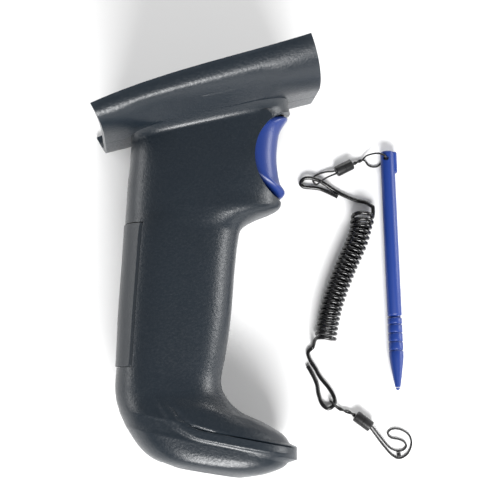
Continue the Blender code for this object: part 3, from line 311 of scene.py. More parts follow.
# Surface texture: range of the noise used, broad tone drift, pointiness range of the convex edges that get a
# painted highlight, height of the grain
NOISE_RANGE = (0.3, 0.7)
BROAD_SCALE = 60.0
EDGE_HIGHLIGHT_RANGE = (0.53, 0.62)
GRAIN_HEIGHT = 0.00012

# Camera, in metres and millimetres of lens
CAMERA_PLACE = (-0.02656, -0.10563, 0.56251)
CAMERA_LOOK = (0.0478, 0.2006, -0.9785)
CAMERA_UP = (-0.0019, 0.9796, 0.2008)
CAMERA_LENS = 94.32

# Soft lights aimed at the middle of the table: place and size in metres, power in watts
LIGHT_TARGET = (0.0, 0.0, 0.02)
LIGHTS = {
    "key": ((0.10, -1.05, 0.85), (0.80, 0.42), 34.0),
    "left": ((-1.4, 0.3, 0.45), (1.2, 0.4), 9.0),
    "right": ((1.3, 0.2, 0.45), (0.9, 0.4), 14.0),
    "rear": ((0.1, 1.4, 0.40), (1.2, 0.3), 12.0),
}
SKY_STRENGTH = 0.30
TABLE_TONE = 0.86


def loft(rings):
    """Closed skin through rings of equal point counts, capped at both ends."""
    shape = bmesh.new()
    rows = [[shape.verts.new(point) for point in ring] for ring in rings]
    count = len(rows[0])
    for lower, upper in zip(rows, rows[1:]):
        for i in range(count):
            j = (i + 1) % count
            shape.faces.new((lower[i], lower[j], upper[j], upper[i]))
    shape.faces.new(rows[0])
    shape.faces.new(rows[-1])
    return shape


def box(low, high):
    """Box between two corners, in millimetres."""
    shape = bmesh.new()
    size = [b - a for a, b in zip(low, high)]
    centre = [(a + b) / 2 for a, b in zip(low, high)]
    matrix = Matrix.Translation(centre) @ Matrix.Diagonal((*size, 1.0))
    bmesh.ops.create_cube(shape, size=1.0, matrix=matrix)
    return shape


def cylinder(radius, start, end, segments):
    """Cylinder between two points, in millimetres."""
    shape = bmesh.new()
    start, end = Vector(start), Vector(end)
    axis = end - start
    turn = Vector((0, 0, 1)).rotation_difference(axis.normalized()).to_matrix().to_4x4()
    matrix = Matrix.Translation((start + end) / 2) @ turn
    bmesh.ops.create_cone(shape, cap_ends=True, segments=segments, radius1=radius,
                          radius2=radius, depth=axis.length, matrix=matrix)
    return shape


def signed_power(value, power):
    """Keep the sign while raising the size of a value to a power."""
    return math.copysign(abs(value) ** power, value)


def foot_stations():
    """Slices of the foot, sole first: back point, front point, half width."""
    sole, foot, grip = SOLE_WIDTH / 2, FOOT_WIDTH / 2, GRIP_WIDTH / 2
    toe = GRIP_DEPTH + TOE_REACH
    inner_toe = toe - TOE_LIP
    side = foot - LIP_PROUD
    return [
        ((22.0, 5.2), (52.0, 0.2), sole),
        ((14.8, 8.6), (61.0, 1.6), sole + 5.5),
        ((9.6, 13.4), (inner_toe - 3.4, 4.0), side - 1.0),
        ((4.4, 21.2), (inner_toe - 0.6, 6.2), side),
        ((3.6, 23.0), (toe, 7.4), foot),
        ((2.0, 26.5), (toe, 12.6), foot),
        ((1.6, 28.0), (inner_toe, 14.0), side),
        ((0.7, 31.0), (inner_toe - 3.0, 17.8), side - 0.9),
        ((0.1, 35.0), (GRIP_DEPTH + 13.0, 22.8), grip + 1.6),
        ((0.1, 39.0), (GRIP_DEPTH + 4.0, 27.0), grip + 0.8),
        ((0.4, 43.0), (GRIP_DEPTH - 1.8, 33.0), grip + 0.3),
        ((0.6, 47.0), (GRIP_DEPTH - 3.7, 39.5), grip),
    ]


def grip_stations():
    """Slices of the grip between the foot and the finger nose."""
    grip, depth, top = GRIP_WIDTH / 2, GRIP_DEPTH, HEAD_Z
    return [
        ((1.0, FOOT_HEIGHT + 16.0), (depth - 1.8, FOOT_HEIGHT + 10.5), grip),
        ((1.3, FOOT_HEIGHT + 26.0), (depth + 0.2, FOOT_HEIGHT + 25.0), grip),
        ((2.5, top - 21.0), (depth + 1.8, top - 21.0), grip),
        ((3.2, top - 9.0), (depth + 3.2, top - 8.6), grip),
        ((3.4, top - 5.0), (depth + 4.8, top - 3.7), grip),
        ((3.5, top - 2.0), (depth + 10.0, top - 0.2), grip + 0.1),
        ((3.6, top + 0.5), (depth + 17.0, top + 2.7), grip + 0.2),
        ((3.7, top + 2.5), (depth + 20.3, top + 4.7), grip + 0.3),
        ((3.9, top + 5.0), (depth + 21.2, top + 6.9), grip + 0.3),
        ((4.1, top + 9.0), (depth + 21.4, top + 11.5), grip + 0.3),
    ]


def tray_edge(share):
    """Underside point, rim point of the tray at a share of its length, front to rear."""
    along = Vector((math.cos(TRAY_SLOPE), math.sin(TRAY_SLOPE)))
    front = Vector((TRAY_FRONT_X, HEAD_Z + TRAY_FRONT_RISE))
    rear = front - along * TRAY_LENGTH
    rim_front = front + TRAY_FRONT_DEPTH * Vector((-math.sin(TRAY_FRONT_LEAN), math.cos(TRAY_FRONT_LEAN)))
    rim_rear = rear + TRAY_REAR_DEPTH * Vector((-math.sin(TRAY_REAR_LEAN), math.cos(TRAY_REAR_LEAN)))
    crown = TRAY_RIM_CROWN * 6.75 * share * share * (1.0 - share)
    return front.lerp(rear, share), rim_front.lerp(rim_rear, share) + Vector((0.0, crown))


def under_tray(x, height):
    """Point of the side view at a height above the tray's underside line."""
    front = tray_edge(0.0)[0]
    line = front.y + (x - front.x) * math.tan(TRAY_SLOPE)
    return x, line + height / math.cos(TRAY_SLOPE)


def neck_stations():
    """Slices of the neck, parallel to the tray's underside, widening upwards."""
    slices = []
    for height, back, front in ((-21.0, 4.2, 28.3), (-17.0, 4.6, 28.0), (-13.0, 5.0, 27.3),
                                (-9.0, 5.3, 26.2), (-5.0, 5.6, 24.9), (-2.0, 5.7, 24.2),
                                (0.5, 5.6, 24.0), (2.4, 5.2, 24.1), (3.8, 4.6, 24.3)):
        width = GRIP_WIDTH / 2 + FLARE * math.exp(height / FLARE_LENGTH)
        slices.append((under_tray(back, height), under_tray(GRIP_DEPTH + front, height), width))
    top = slices[-1][2] - 1.5
    slices.append((under_tray(6.6, 7.5), under_tray(GRIP_DEPTH + 22.0, 7.5), top))
    return slices


def inset(station, amount):
    """Same slice, drawn in by a wall thickness."""
    back, front, half_width = station
    back, front = Vector(back), Vector(front)
    step = (front - back).normalized() * amount
    return tuple(back + step), tuple(front - step), half_width - amount


def tray_half_section(share, drawn_in, floor):
    """Half of the tray's section from the middle of its underside to its rim."""
    under, rim = tray_edge(share)
    down = under - rim
    depth = down.length
    down.normalize()
    power = 2.0 + share
    flat = TRAY_FLAT_WIDTH / 2
    reach = TRAY_WIDTH / 2 - drawn_in - flat
    outline = [(0.0, rim + down * (depth - floor))]
    for i in range(TRAY_POINTS):
        angle = math.pi / 2 * (1 - i / (TRAY_POINTS - 1))
        across = flat + reach * math.cos(angle) ** (2 / power) if i else flat
        level = (depth - floor) * math.sin(angle) ** (2 / power) if i < TRAY_POINTS - 1 else 0.0
        outline.append((across, rim + down * level))
    return outline, rim, down


def on_tray(along, across, height):
    """Point of the handle frame from tray coordinates: forward, to the left, up."""
    middle = tray_edge(0.5)[0]
    c, s = math.cos(TRAY_SLOPE), math.sin(TRAY_SLOPE)
    return (middle.x + along * c - height * s, across, middle.y + along * s + height * c)


def tray_box(low, high):
    """Box aligned with the tray's underside."""
    shape = box(low, high)
    turn = Matrix.Rotation(-TRAY_SLOPE, 4, "Y")
    middle = tray_edge(0.5)[0]
    shift = Matrix.Translation((middle.x, 0.0, middle.y))
    bmesh.ops.transform(shape, matrix=shift @ turn, verts=shape.verts)
    return shape


def height_at(station, x):
    """Height of a slanted slice where it passes a place in the side view."""
    back, front = station[0], station[1]
    return back[1] + (front[1] - back[1]) * (x - back[0]) / (front[0] - back[0])


def slice_through(x, level):
    """Slice of the outer form that passes through a point of the side view."""
    stations = foot_stations() + grip_stations() + neck_stations()
    for lower, upper in zip(stations, stations[1:]):
        low, high = height_at(lower, x), height_at(upper, x)
        if low <= level <= high:
            share = (level - low) / (high - low)
            back = Vector(lower[0]).lerp(Vector(upper[0]), share)
            front = Vector(lower[1]).lerp(Vector(upper[1]), share)
            return tuple(back), tuple(front), lower[2] + (upper[2] - lower[2]) * share
    return stations[-1]


def half_width_at(x, level, drawn_in=0.0):
    """Half width of the grip's form at a place in the side view, drawn in by an amount."""
    back, front, half = inset(slice_through(x, level), drawn_in)
    centre, reach = (back[0] + front[0]) / 2, (front[0] - back[0]) / 2
    share = min(abs(x - centre) / reach, 1.0)
    return half * (1 - share ** GRIP_POWER) ** (1 / GRIP_POWER)


def station_at(stations, level):
    """Level slice between two stations whose back point is at a level."""
    for lower, upper in zip(stations, stations[1:]):
        if lower[0][1] <= level <= upper[0][1]:
            share = (level - lower[0][1]) / (upper[0][1] - lower[0][1])
            back = Vector(lower[0]).lerp(Vector(upper[0]), share)
            front = Vector(lower[1]).lerp(Vector(upper[1]), share)
            return tuple(back), (front.x, back.y), lower[2] + (upper[2] - lower[2]) * share
    return stations[-1]


def on_sole(along, across, height):
    """Point of the handle frame from sole coordinates: forward, to the left, up."""
    c, s = math.cos(SOLE_SLOPE), math.sin(SOLE_SLOPE)
    start_z = 5.2 + (22.0 - RECESS_REAR) * math.tan(SOLE_SLOPE)
    return (RECESS_REAR + along * c + height * s, across, start_z - along * s + height * c)


def sole_box(low, high):
    """Box aligned with the sole."""
    shape = box(low, high)
    place = Matrix.Translation(on_sole(0.0, 0.0, 0.0)) @ Matrix.Rotation(SOLE_SLOPE, 4, "Y")
    bmesh.ops.transform(shape, matrix=place, verts=shape.verts)
    return shape


def strap_ring(slice_at, outward, inward, width, spread):
    """Thin ring hugging the back of one level slice, its outer side spread wider."""
    back, front, half_width = slice_at
    centre, reach = (back[0] + front[0]) / 2, (front[0] - back[0]) / 2
    outer, inner = [], []
    steps = 12
    for i in range(steps + 1):
        across = width * (i / steps - 0.5)
        share = (1 - (abs(across) / half_width) ** GRIP_POWER) ** (1 / GRIP_POWER)
        x = centre - reach * share
        outer.append((x - outward, across * spread, back[1]))
        inner.append((x + inward, across, back[1]))
    return outer + inner[::-1]


def post_reach(x, z, radius):
    """How far out a round post can run and still end inside the wall."""
    widths = [half_width_at(x, z)]
    for step in range(8):
        angle = math.pi / 4 * step
        widths.append(half_width_at(x + radius * math.cos(angle), z + radius * math.sin(angle)))
    return min(widths) - WALL / 4


def shell_posts(side):
    """Posts inside one shell; side is -1 for the right shell and +1 for the left."""
    posts = []
    for x, z in SHELL_SCREWS.values():
        reach = side * post_reach(x, z, BOSS_RADIUS)
        posts.append(cylinder(BOSS_RADIUS, (x, 0.0, z), (x, reach, z), 16))
    x, z = TRIGGER_PIVOT
    near = side * (TRIGGER_HUB_WIDTH / 2 + SLIDE_GAP)
    far = side * post_reach(x, z, TRIGGER_HUB_RADIUS)
    posts.append(cylinder(TRIGGER_HUB_RADIUS, (x, near, z), (x, far, z), 16))
    return posts


def board_ribs(side):
    """Ribs that the switch board rests against, in one shell."""
    ribs = []
    for level in (BOARD_LOW + 3.0, BOARD_HIGH - 3.0):
        far = half_width_at(BOARD_X, level) - WALL / 2
        across = sorted((side * (BOARD_WIDTH / 2 - 3.0), side * far))
        rear = BOARD_X - TOUCH_GAP - RIB_THICKNESS
        low = (rear, across[0], level - RIB_THICKNESS / 2)
        ribs.append(box(low, (rear + RIB_THICKNESS, across[1], level + RIB_THICKNESS / 2)))
    return ribs


def shell_cuts():
    """Everything that is cut out of both shells after they are hollow."""
    cuts = {}
    for key, (x, z) in SHELL_SCREWS.items():
        tip, seat = -SCREW_TIP - TOUCH_GAP, SCREW_SEAT
        cuts[key + "_shank"] = cylinder(SCREW_SHANK_RADIUS + TOUCH_GAP, (x, tip, z), (x, seat + 1.0, z), 14)
        cuts[key + "_head"] = cylinder(SCREW_HEAD_RADIUS + TOUCH_GAP, (x, seat, z), (x, FOOT_WIDTH, z), 16)
    x, z = TRIGGER_SCOOP
    cuts["scoop"] = cylinder(SCOOP_RADIUS, (x, -TRAY_WIDTH, z), (x, TRAY_WIDTH, z), 72)
    x, z = TRIGGER_PIVOT
    half = TRIGGER_PIN_LENGTH / 2 + TOUCH_GAP
    cuts["pivot"] = cylinder(TRIGGER_PIN_RADIUS + TOUCH_GAP, (x, -half, z), (x, half, z), 14)
    cuts["strap"] = strap_shape(STRAP_CUT_REACH, STRAP_THICKNESS + TOUCH_GAP, TOUCH_GAP, STRAP_CUT_SPREAD)
    half = RECESS_WIDTH / 2
    cuts["recess"] = sole_box((0.0, -half, -8.0), (RECESS_LENGTH, half, RECESS_DEPTH))
    along, height = LANYARD_BAR_PLACE
    half = LANYARD_BAR_LENGTH / 2 + TOUCH_GAP
    start, end = on_sole(along, -half, height), on_sole(along, half, height)
    cuts["bar"] = cylinder(LANYARD_BAR_RADIUS + TOUCH_GAP, start, end, 14)
    start, end = on_tray(0.0, 0.0, -6.0), on_tray(0.0, 0.0, TRAY_FLOOR + 1.0)
    cuts["lead"] = cylinder(LEAD_HOLE_RADIUS, start, end, 16)
    half = CATCH_WIDTH / 2 + CUP_WALL + 2 * SLIDE_GAP
    reach = CATCH_LENGTH / 2 + CUP_WALL + 2 * SLIDE_GAP
    low = (CATCH_ALONG - reach, -half, -CUP_DEPTH - TOUCH_GAP)
    cuts["cup"] = tray_box(low, (CATCH_ALONG + reach, half, TRAY_FLOOR + 1.0))
    for along in PLATE_SCREW_ALONGS:
        start, end = on_tray(along, 0.0, 0.4), on_tray(along, 0.0, TRAY_FLOOR + 1.0)
        name = "plate_screw_rear" if along < 0 else "plate_screw_front"
        cuts[name] = cylinder(PLATE_SCREW_RADIUS + TOUCH_GAP, start, end, 12)
    return cuts


def turned(profile, segments):
    """Solid of revolution about local X from (distance, radius) pairs."""
    rings = []
    for along, radius in profile:
        ring = []
        for i in range(segments):
            angle = 2 * math.pi * i / segments
            ring.append((along, radius * math.cos(angle), radius * math.sin(angle)))
        rings.append(ring)
    return loft(rings)


def trigger_room(x, z):
    """Half width left for the trigger at a place in the side view."""
    widest = TRIGGER_HUB_WIDTH / 2
    if math.dist((x, z), TRIGGER_SCOOP) < SCOOP_RADIUS:
        return widest
    return min(widest, half_width_at(x, z, WALL + SLIDE_GAP))


def pulled(x, z):
    """Where a point of the side view goes when the trigger is fully pulled."""
    dx, dz = x - TRIGGER_PIVOT[0], z - TRIGGER_PIVOT[1]
    c, s = math.cos(TRIGGER_TRAVEL), math.sin(TRIGGER_TRAVEL)
    return TRIGGER_PIVOT[0] + dx * c + dz * s, TRIGGER_PIVOT[1] + dz * c - dx * s


def on_curve(before, start, end, after, t):
    """Value at a share of the way from start to end on a Catmull-Rom curve."""
    return 0.5 * (2 * start + (end - before) * t + (2 * before - 5 * start + 4 * end - after) * t * t
                  + (3 * start - before - 3 * end + after) * t * t * t)


def smooth_route(knots, spacing):
    """Points along a Catmull-Rom curve through knots, about one spacing apart."""
    knots = [Vector(k) for k in knots]
    padded = [knots[0] * 2 - knots[1]] + knots + [knots[-1] * 2 - knots[-2]]
    points = []
    for a, b, c, d in zip(padded, padded[1:], padded[2:], padded[3:]):
        steps = max(1, round((c - b).length / spacing))
        for i in range(steps):
            points.append(on_curve(a, b, c, d, i / steps))
    points.append(knots[-1])
    return [tuple(p) for p in points]


# ---------------------------------------------------------------- placing

def resting_turn():
    """Turn that lays the upright handle on its left side, and the tray corner it turns about."""
    rim_front, rim_rear = tray_edge(0.0)[1], tray_edge(1.0)[1]
    half = TRAY_WIDTH / 2
    corner = Vector((rim_rear.x, half, rim_rear.y))
    rim = Vector((rim_front.x, half, rim_front.y)) - corner
    best = None
    for station in foot_stations():
        for point in section(*station, count=56):
            normal = rim.cross(Vector(point) - corner).normalized()
            if best is None or normal.z > best.z:
                best = normal
    up = -best
    forward = (Vector((1, 0, 0)) - up * up.x).normalized()
    return Matrix((forward, up.cross(forward), up)).to_4x4(), corner


def section(back, front, half_width, count=160):
    """Rounded slice spanned by the line from back to front and the Y axis."""
    ring = []
    for i in range(count):
        angle = 2 * math.pi * i / count
        along = signed_power(math.cos(angle), 2 / GRIP_POWER)
        across = signed_power(math.sin(angle), 2 / GRIP_POWER)
        x = (back[0] + front[0]) / 2 + (front[0] - back[0]) / 2 * along
        z = (back[1] + front[1]) / 2 + (front[1] - back[1]) / 2 * along
        ring.append((x, half_width * across, z))
    return ring


def handle_matrix():
    """Place of the upright handle in the world, from the trigger's axis, and its shift on the table."""
    turn, corner = resting_turn()
    matrix = turn @ Matrix.Translation(-corner * MM)
    pivot = Vector((TRIGGER_PIVOT[0], 0.0, TRIGGER_PIVOT[1])) * MM
    joints = frame["record"]["behaviour"]["joints"]
    target = Vector(next(joint["pos_m"] for joint in joints if joint["name"] == "trigger_pull"))
    return Matrix.Translation(target - matrix @ pivot) @ matrix, target - matrix @ pivot


HANDLE, TABLE_SHIFT = handle_matrix()
SET = Matrix.Translation(TABLE_SHIFT + Vector(SET_PLACE) * MM)
STYLUS = SET @ Matrix.Translation((0, 0, STYLUS_DIAMETER / 2 * MM)) @ Matrix.Rotation(
    -math.pi / 2 + STYLUS_LEAN, 4, "Z")


def make(name, shape, place, look):
    """Object in the table's frame from a bmesh in millimetres."""
    bmesh.ops.scale(shape, vec=(MM, MM, MM), verts=shape.verts)
    bmesh.ops.recalc_face_normals(shape, faces=shape.faces)
    bmesh.ops.transform(shape, matrix=place, verts=shape.verts)
    data = bpy.data.meshes.new(name)
    shape.to_mesh(data)
    shape.free()
    data.shade_smooth()
    data.set_sharp_from_angle(angle=math.radians(SHARP_ANGLE))
    obj = bpy.data.objects.new(name, data)
    bpy.context.scene.collection.objects.link(obj)
    if look is not None:
        data.materials.append(look)
    return obj


def carve(target, steps, place):
    """Apply Boolean steps to an object; each step is an operation and a bmesh in millimetres."""
    guides = []
    for number, (operation, shape) in enumerate(steps):
        guide = make(f"guide_{number}", shape, place, None)
        modifier = target.modifiers.new("carve", "BOOLEAN")
        modifier.operation = operation
        modifier.solver = "EXACT"
        modifier.object = guide
        guides.append(guide)
    graph = bpy.context.evaluated_depsgraph_get()
    mesh = bpy.data.meshes.new_from_object(target.evaluated_get(graph))
    target.modifiers.clear()
    old = target.data
    target.data = mesh
    bpy.data.meshes.remove(old)
    for guide in guides:
        guide_mesh = guide.data
        bpy.data.objects.remove(guide)
        bpy.data.meshes.remove(guide_mesh)
    mesh.shade_smooth()
    mesh.set_sharp_from_angle(angle=math.radians(SHARP_ANGLE))


def soften(obj, width):
    """Round an object's edges."""
    modifier = obj.modifiers.new("rounded", "BEVEL")
    modifier.width = width * MM
    modifier.segments = 2
    modifier.limit_method = "ANGLE"
    modifier.angle_limit = math.radians(SHARP_ANGLE)
    modifier.harden_normals = True


# ---------------------------------------------------------------- materials

def add_node(tree, kind, **settings):
    """One node with its settings and socket values."""
    node = tree.nodes.new(kind)
    for key, value in settings.items():
        if hasattr(node, key):
            setattr(node, key, value)
        else:
            node.inputs[key.replace("_", " ")].default_value = value
    return node


def grained(name, colour, roughness, grain, depth, metallic=0.0, spread=0.06, tint=0.12, edge_highlight=0.25):
    """Moulded surface: fine grain in the bump, uneven roughness, tone drift, and a painted highlight that
    lightens convex edges.
    """
    made = bpy.data.materials.new(name)
    made.use_nodes = True
    tree = made.node_tree
    shader = tree.nodes["Principled BSDF"]
    shader.inputs["Metallic"].default_value = metallic
    place = add_node(tree, "ShaderNodeTexCoord")
    fine = add_node(tree, "ShaderNodeTexNoise", Scale=grain, Detail=3.0, Roughness=0.6)
    broad = add_node(tree, "ShaderNodeTexNoise", Scale=BROAD_SCALE, Detail=4.0, Roughness=0.55)
    for texture in (fine, broad):
        tree.links.new(place.outputs["Object"], texture.inputs["Vector"])
    rough = add_node(tree, "ShaderNodeMapRange")
    rough.inputs["From Min"].default_value = NOISE_RANGE[0]
    rough.inputs["From Max"].default_value = NOISE_RANGE[1]
    rough.inputs["To Min"].default_value = roughness - spread
    rough.inputs["To Max"].default_value = roughness + spread
    tree.links.new(fine.outputs["Fac"], rough.inputs["Value"])
    tree.links.new(rough.outputs["Result"], shader.inputs["Roughness"])
    tone = add_node(tree, "ShaderNodeMix", data_type="RGBA")
    tone.inputs[6].default_value = (*[c * (1 - tint) for c in colour], 1.0)
    tone.inputs[7].default_value = (*[min(c * (1 + tint), 1.0) for c in colour], 1.0)
    tree.links.new(broad.outputs["Fac"], tone.inputs[0])
    # Painted highlight: convex edges, found by pointiness, are mixed towards a lighter colour in place of the
    # light that rounded edges catch.
    geometry = add_node(tree, "ShaderNodeNewGeometry")
    edge_highlight_mask = add_node(tree, "ShaderNodeMapRange")
    edge_highlight_mask.inputs["From Min"].default_value = EDGE_HIGHLIGHT_RANGE[0]
    edge_highlight_mask.inputs["From Max"].default_value = EDGE_HIGHLIGHT_RANGE[1]
    edge_highlight_mask.inputs["To Max"].default_value = edge_highlight
    tree.links.new(geometry.outputs["Pointiness"], edge_highlight_mask.inputs["Value"])
    edge_highlight_mix = add_node(tree, "ShaderNodeMix", data_type="RGBA")
    edge_highlight_mix.inputs[7].default_value = (*[min(c * 2.2 + 0.02, 1.0) for c in colour], 1.0)
    tree.links.new(edge_highlight_mask.outputs["Result"], edge_highlight_mix.inputs[0])
    tree.links.new(tone.outputs[2], edge_highlight_mix.inputs[6])
    tree.links.new(edge_highlight_mix.outputs[2], shader.inputs["Base Color"])
    bump = add_node(tree, "ShaderNodeBump", Strength=depth, Distance=GRAIN_HEIGHT)
    tree.links.new(fine.outputs["Fac"], bump.inputs["Height"])
    tree.links.new(bump.outputs["Normal"], shader.inputs["Normal"])
    return made


def brushed(name, colour, roughness, scale):
    """Turned or drawn metal with fine scratches."""
    return grained(name, colour, roughness, scale, 0.25, metallic=1.0, spread=0.1, tint=0.06, edge_highlight=0.0)


SLATE = grained("slate_plastic", (0.006, 0.0105, 0.016), 0.35, 950.0, 0.9)
STRAP = grained("strap_plastic", (0.008, 0.012, 0.017), 0.42, 1500.0, 0.5)
BLUE = grained("blue_plastic", (0.004, 0.023, 0.15), 0.36, 2400.0, 0.16, spread=0.04, tint=0.08)
STYLUS_BLUE = grained("stylus_blue", (0.0035, 0.027, 0.18), 0.42, 2400.0, 0.12, spread=0.04, tint=0.08)
BLACK = grained("black_plastic", (0.004, 0.004, 0.0045), 0.4, 2000.0, 0.3)
CORD_BLACK = grained("cord_black", (0.003, 0.003, 0.0035), 0.18, 1800.0, 0.12, spread=0.05, tint=0.1)
STRING_BLACK = grained("string_black", (0.003, 0.003, 0.0035), 0.45, 5200.0, 0.8, spread=0.08)
STEEL = brushed("steel", (0.58, 0.58, 0.59), 0.28, 2400.0)
GILT = brushed("gilt", (0.72, 0.52, 0.20), 0.25, 2000.0)
BOARD = grained("board_green", (0.02, 0.12, 0.05), 0.35, 1500.0, 0.2)


# ---------------------------------------------------------------- camera and light

def add_camera():
    """Camera looking down at the table."""
    data = bpy.data.cameras.new("camera")
    data.lens = CAMERA_LENS
    data.sensor_width = 36.0
    data.clip_start = 0.01
    data.clip_end = 20.0
    camera = bpy.data.objects.new("camera", data)
    bpy.context.scene.collection.objects.link(camera)
    look = Vector(CAMERA_LOOK).normalized()
    right = look.cross(Vector(CAMERA_UP)).normalized()
    up = right.cross(look)
    turn = Matrix((right, up, -look)).transposed().to_4x4()
    camera.matrix_world = Matrix.Translation(CAMERA_PLACE) @ turn
    bpy.context.scene.camera = camera


def add_light(name, place, size, power):
    """Rectangular soft light aimed at the middle of the table."""
    data = bpy.data.lights.new(name, "AREA")
    data.shape = "RECTANGLE"
    data.size = size[0]
    data.size_y = size[1]
    data.energy = power
    light = bpy.data.objects.new(name, data)
    bpy.context.scene.collection.objects.link(light)
    light.location = place
    light.rotation_euler = (Vector(LIGHT_TARGET) - Vector(place)).to_track_quat("-Z", "Y").to_euler()


def add_studio():
    """Pale table, soft lights and bright surroundings."""
    table = bmesh.new()
    bmesh.ops.create_grid(table, x_segments=1, y_segments=1, size=3000.0)
    white = bpy.data.materials.new("table_white")
    white.use_nodes = True
    shader = white.node_tree.nodes["Principled BSDF"]
    shader.inputs["Base Color"].default_value = (TABLE_TONE, TABLE_TONE, TABLE_TONE, 1.0)
    shader.inputs["Roughness"].default_value = 0.85
    shader.inputs["Specular IOR Level"].default_value = 0.1
    make("table", table, Matrix.Identity(4), white)
    for name, (place, size, power) in LIGHTS.items():
        add_light(name, place, size, power)
    world = bpy.data.worlds.new("studio")
    world.use_nodes = True
    sky = world.node_tree.nodes["Background"]
    sky.inputs["Color"].default_value = (1.0, 1.0, 1.0, 1.0)
    sky.inputs["Strength"].default_value = SKY_STRENGTH
    bpy.context.scene.world = world
    bpy.context.scene.view_settings.view_transform = "Standard"


# ---------------------------------------------------------------- cords

def table_point(point):
    """Table point in metres from a route point beside the stylus, in millimetres."""
    return SET @ (Vector(point) * MM)


def tube(name, points, diameter, look, resolution):
    """Round cord along points on the table."""
    curve = bpy.data.curves.new(name, "CURVE")
    curve.dimensions = "3D"
    curve.bevel_depth = diameter / 2 * MM
    curve.bevel_resolution = resolution
    curve.use_fill_caps = True
    spline = curve.splines.new("POLY")
    spline.points.add(len(points) - 1)
    for target, point in zip(spline.points, points):
        target.co = (*point, 1.0)
    spline.use_smooth = True
    obj = bpy.data.objects.new(name, curve)
    bpy.context.scene.collection.objects.link(obj)
    curve.materials.append(look)
    return obj


def coil_points():
    """Helix of the coil along its bent axis, its first turns loose and tilted."""
    level = COIL_DIAMETER / 2 + 0.05
    axis = [Vector(p) for p in smooth_route([(x, y, level) for x, y in COIL_ROUTE], 0.8)]
    lengths = [0.0]
    for a, b in zip(axis, axis[1:]):
        lengths.append(lengths[-1] + (b - a).length)
    total = lengths[-1] - CORD_DIAMETER
    radius = (COIL_DIAMETER - CORD_DIAMETER) / 2
    points = []
    steps = round(COIL_TURNS * TURN_STEPS)
    for i in range(steps + 1):
        share = i / steps
        distance = CORD_DIAMETER / 2 + total * share
        index = max(k for k in range(len(axis) - 1) if lengths[k] <= distance)
        part = (distance - lengths[index]) / (lengths[index + 1] - lengths[index])
        centre = axis[index].lerp(axis[index + 1], part)
        along = (axis[min(index + 2, len(axis) - 1)] - axis[max(index - 1, 0)]).normalized()
        side = along.cross(Vector((0, 0, 1))).normalized()
        angle = math.pi - 2 * math.pi * COIL_TURNS * share
        loose = max(0.0, 1.0 - share * COIL_TURNS / LOOSE_TURNS)
        wide = radius * (1 + LOOSE_WIDENING * loose * math.sin(math.pi * loose))
        point = centre + side * math.cos(angle) * wide + Vector((0, 0, 1)) * math.sin(angle) * radius
        points.append(point - along * LOOSE_TILT * loose * math.sin(angle) * radius)
    return points


def add_coiled_cord():
    """Coiled cord from its upper eye to its lower eye, in one line."""
    upper = [Vector(p) for p in smooth_route(UPPER_EYE_ROUTE[:-1], 0.7)]
    lower = [Vector(p) for p in smooth_route(LOWER_EYE_ROUTE[1:], 0.7)]
    coil = coil_points()
    lead_in = smooth_route([upper[-4], upper[-1], coil[0], coil[5]], 0.6)
    lead_out = smooth_route([coil[-6], coil[-1], lower[0], lower[3]], 0.6)
    first = nearest(lead_in, upper[-1])
    last = nearest(lead_in, coil[0])
    joined = upper[:-1] + [Vector(p) for p in lead_in[first:last]] + coil
    first = nearest(lead_out, coil[-1]) + 1
    last = nearest(lead_out, lower[0])
    joined += [Vector(p) for p in lead_out[first:last]] + lower
    points = [tuple(table_point(p)) for p in joined]
    cord = tube("coiled_cord", points, CORD_DIAMETER, CORD_BLACK, 4)
    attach(cord, "stylus_set")
    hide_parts("cord_upper_eye", "cord_coil", "cord_lower_eye")


def nearest(points, target):
    """Index of the point nearest to a target."""
    return min(range(len(points)), key=lambda k: (Vector(points[k]) - Vector(target)).length)


def twisted(axis, turns, phase):
    """One strand of a twisted pair round a smooth axis."""
    centre = [Vector(p) for p in smooth_route(axis, 0.5)]
    strand = []
    for i, point in enumerate(centre):
        ahead = centre[min(i + 1, len(centre) - 1)] - centre[max(i - 1, 0)]
        along = ahead.normalized()
        side = along.cross(Vector((0, 0, 1))).normalized()
        angle = phase + 2 * math.pi * turns * i / (len(centre) - 1)
        offset = side * math.cos(angle) + Vector((0, 0, 1)) * math.sin(angle)
        strand.append(tuple(point + offset * PAIR_SPACING))
    return strand


def laid_between(profile, segments, start, end):
    """Solid of revolution laid from one point towards another."""
    shape = turned(profile, segments)
    turn = Vector((1, 0, 0)).rotation_difference(end - start).to_matrix().to_4x4()
    bmesh.ops.transform(shape, matrix=Matrix.Translation(start) @ turn, verts=shape.verts)
    return shape


def bead_shape(start, end):
    """Bead with rounded ends and a waist line, about its own axis."""
    start = Vector(start)
    end = Vector(end)
    length = (end - start).length
    radius = BEAD_DIAMETER / 2
    waist = radius - BEAD_WAIST
    hole, hole_rim = BEAD_BORE
    profile = []
    for step in range(6):
        angle = math.pi / 2 * step / 5
        height = radius - BEAD_ROUNDING + BEAD_ROUNDING * math.sin(angle)
        profile.append((BEAD_ROUNDING * (1 - math.cos(angle)), height))
    body = [(length * 0.48, radius), (length * 0.49, waist), (length * 0.51, waist), (length * 0.52, radius)]
    far_end = [(length - along, height) for along, height in reversed(profile)]
    profile = [(BEAD_BORE_DEPTH, hole), (0.0, hole_rim)] + profile + body + far_end
    profile += [(length, hole_rim), (length - BEAD_BORE_DEPTH, hole)]
    return laid_between(profile, 36, start, end)


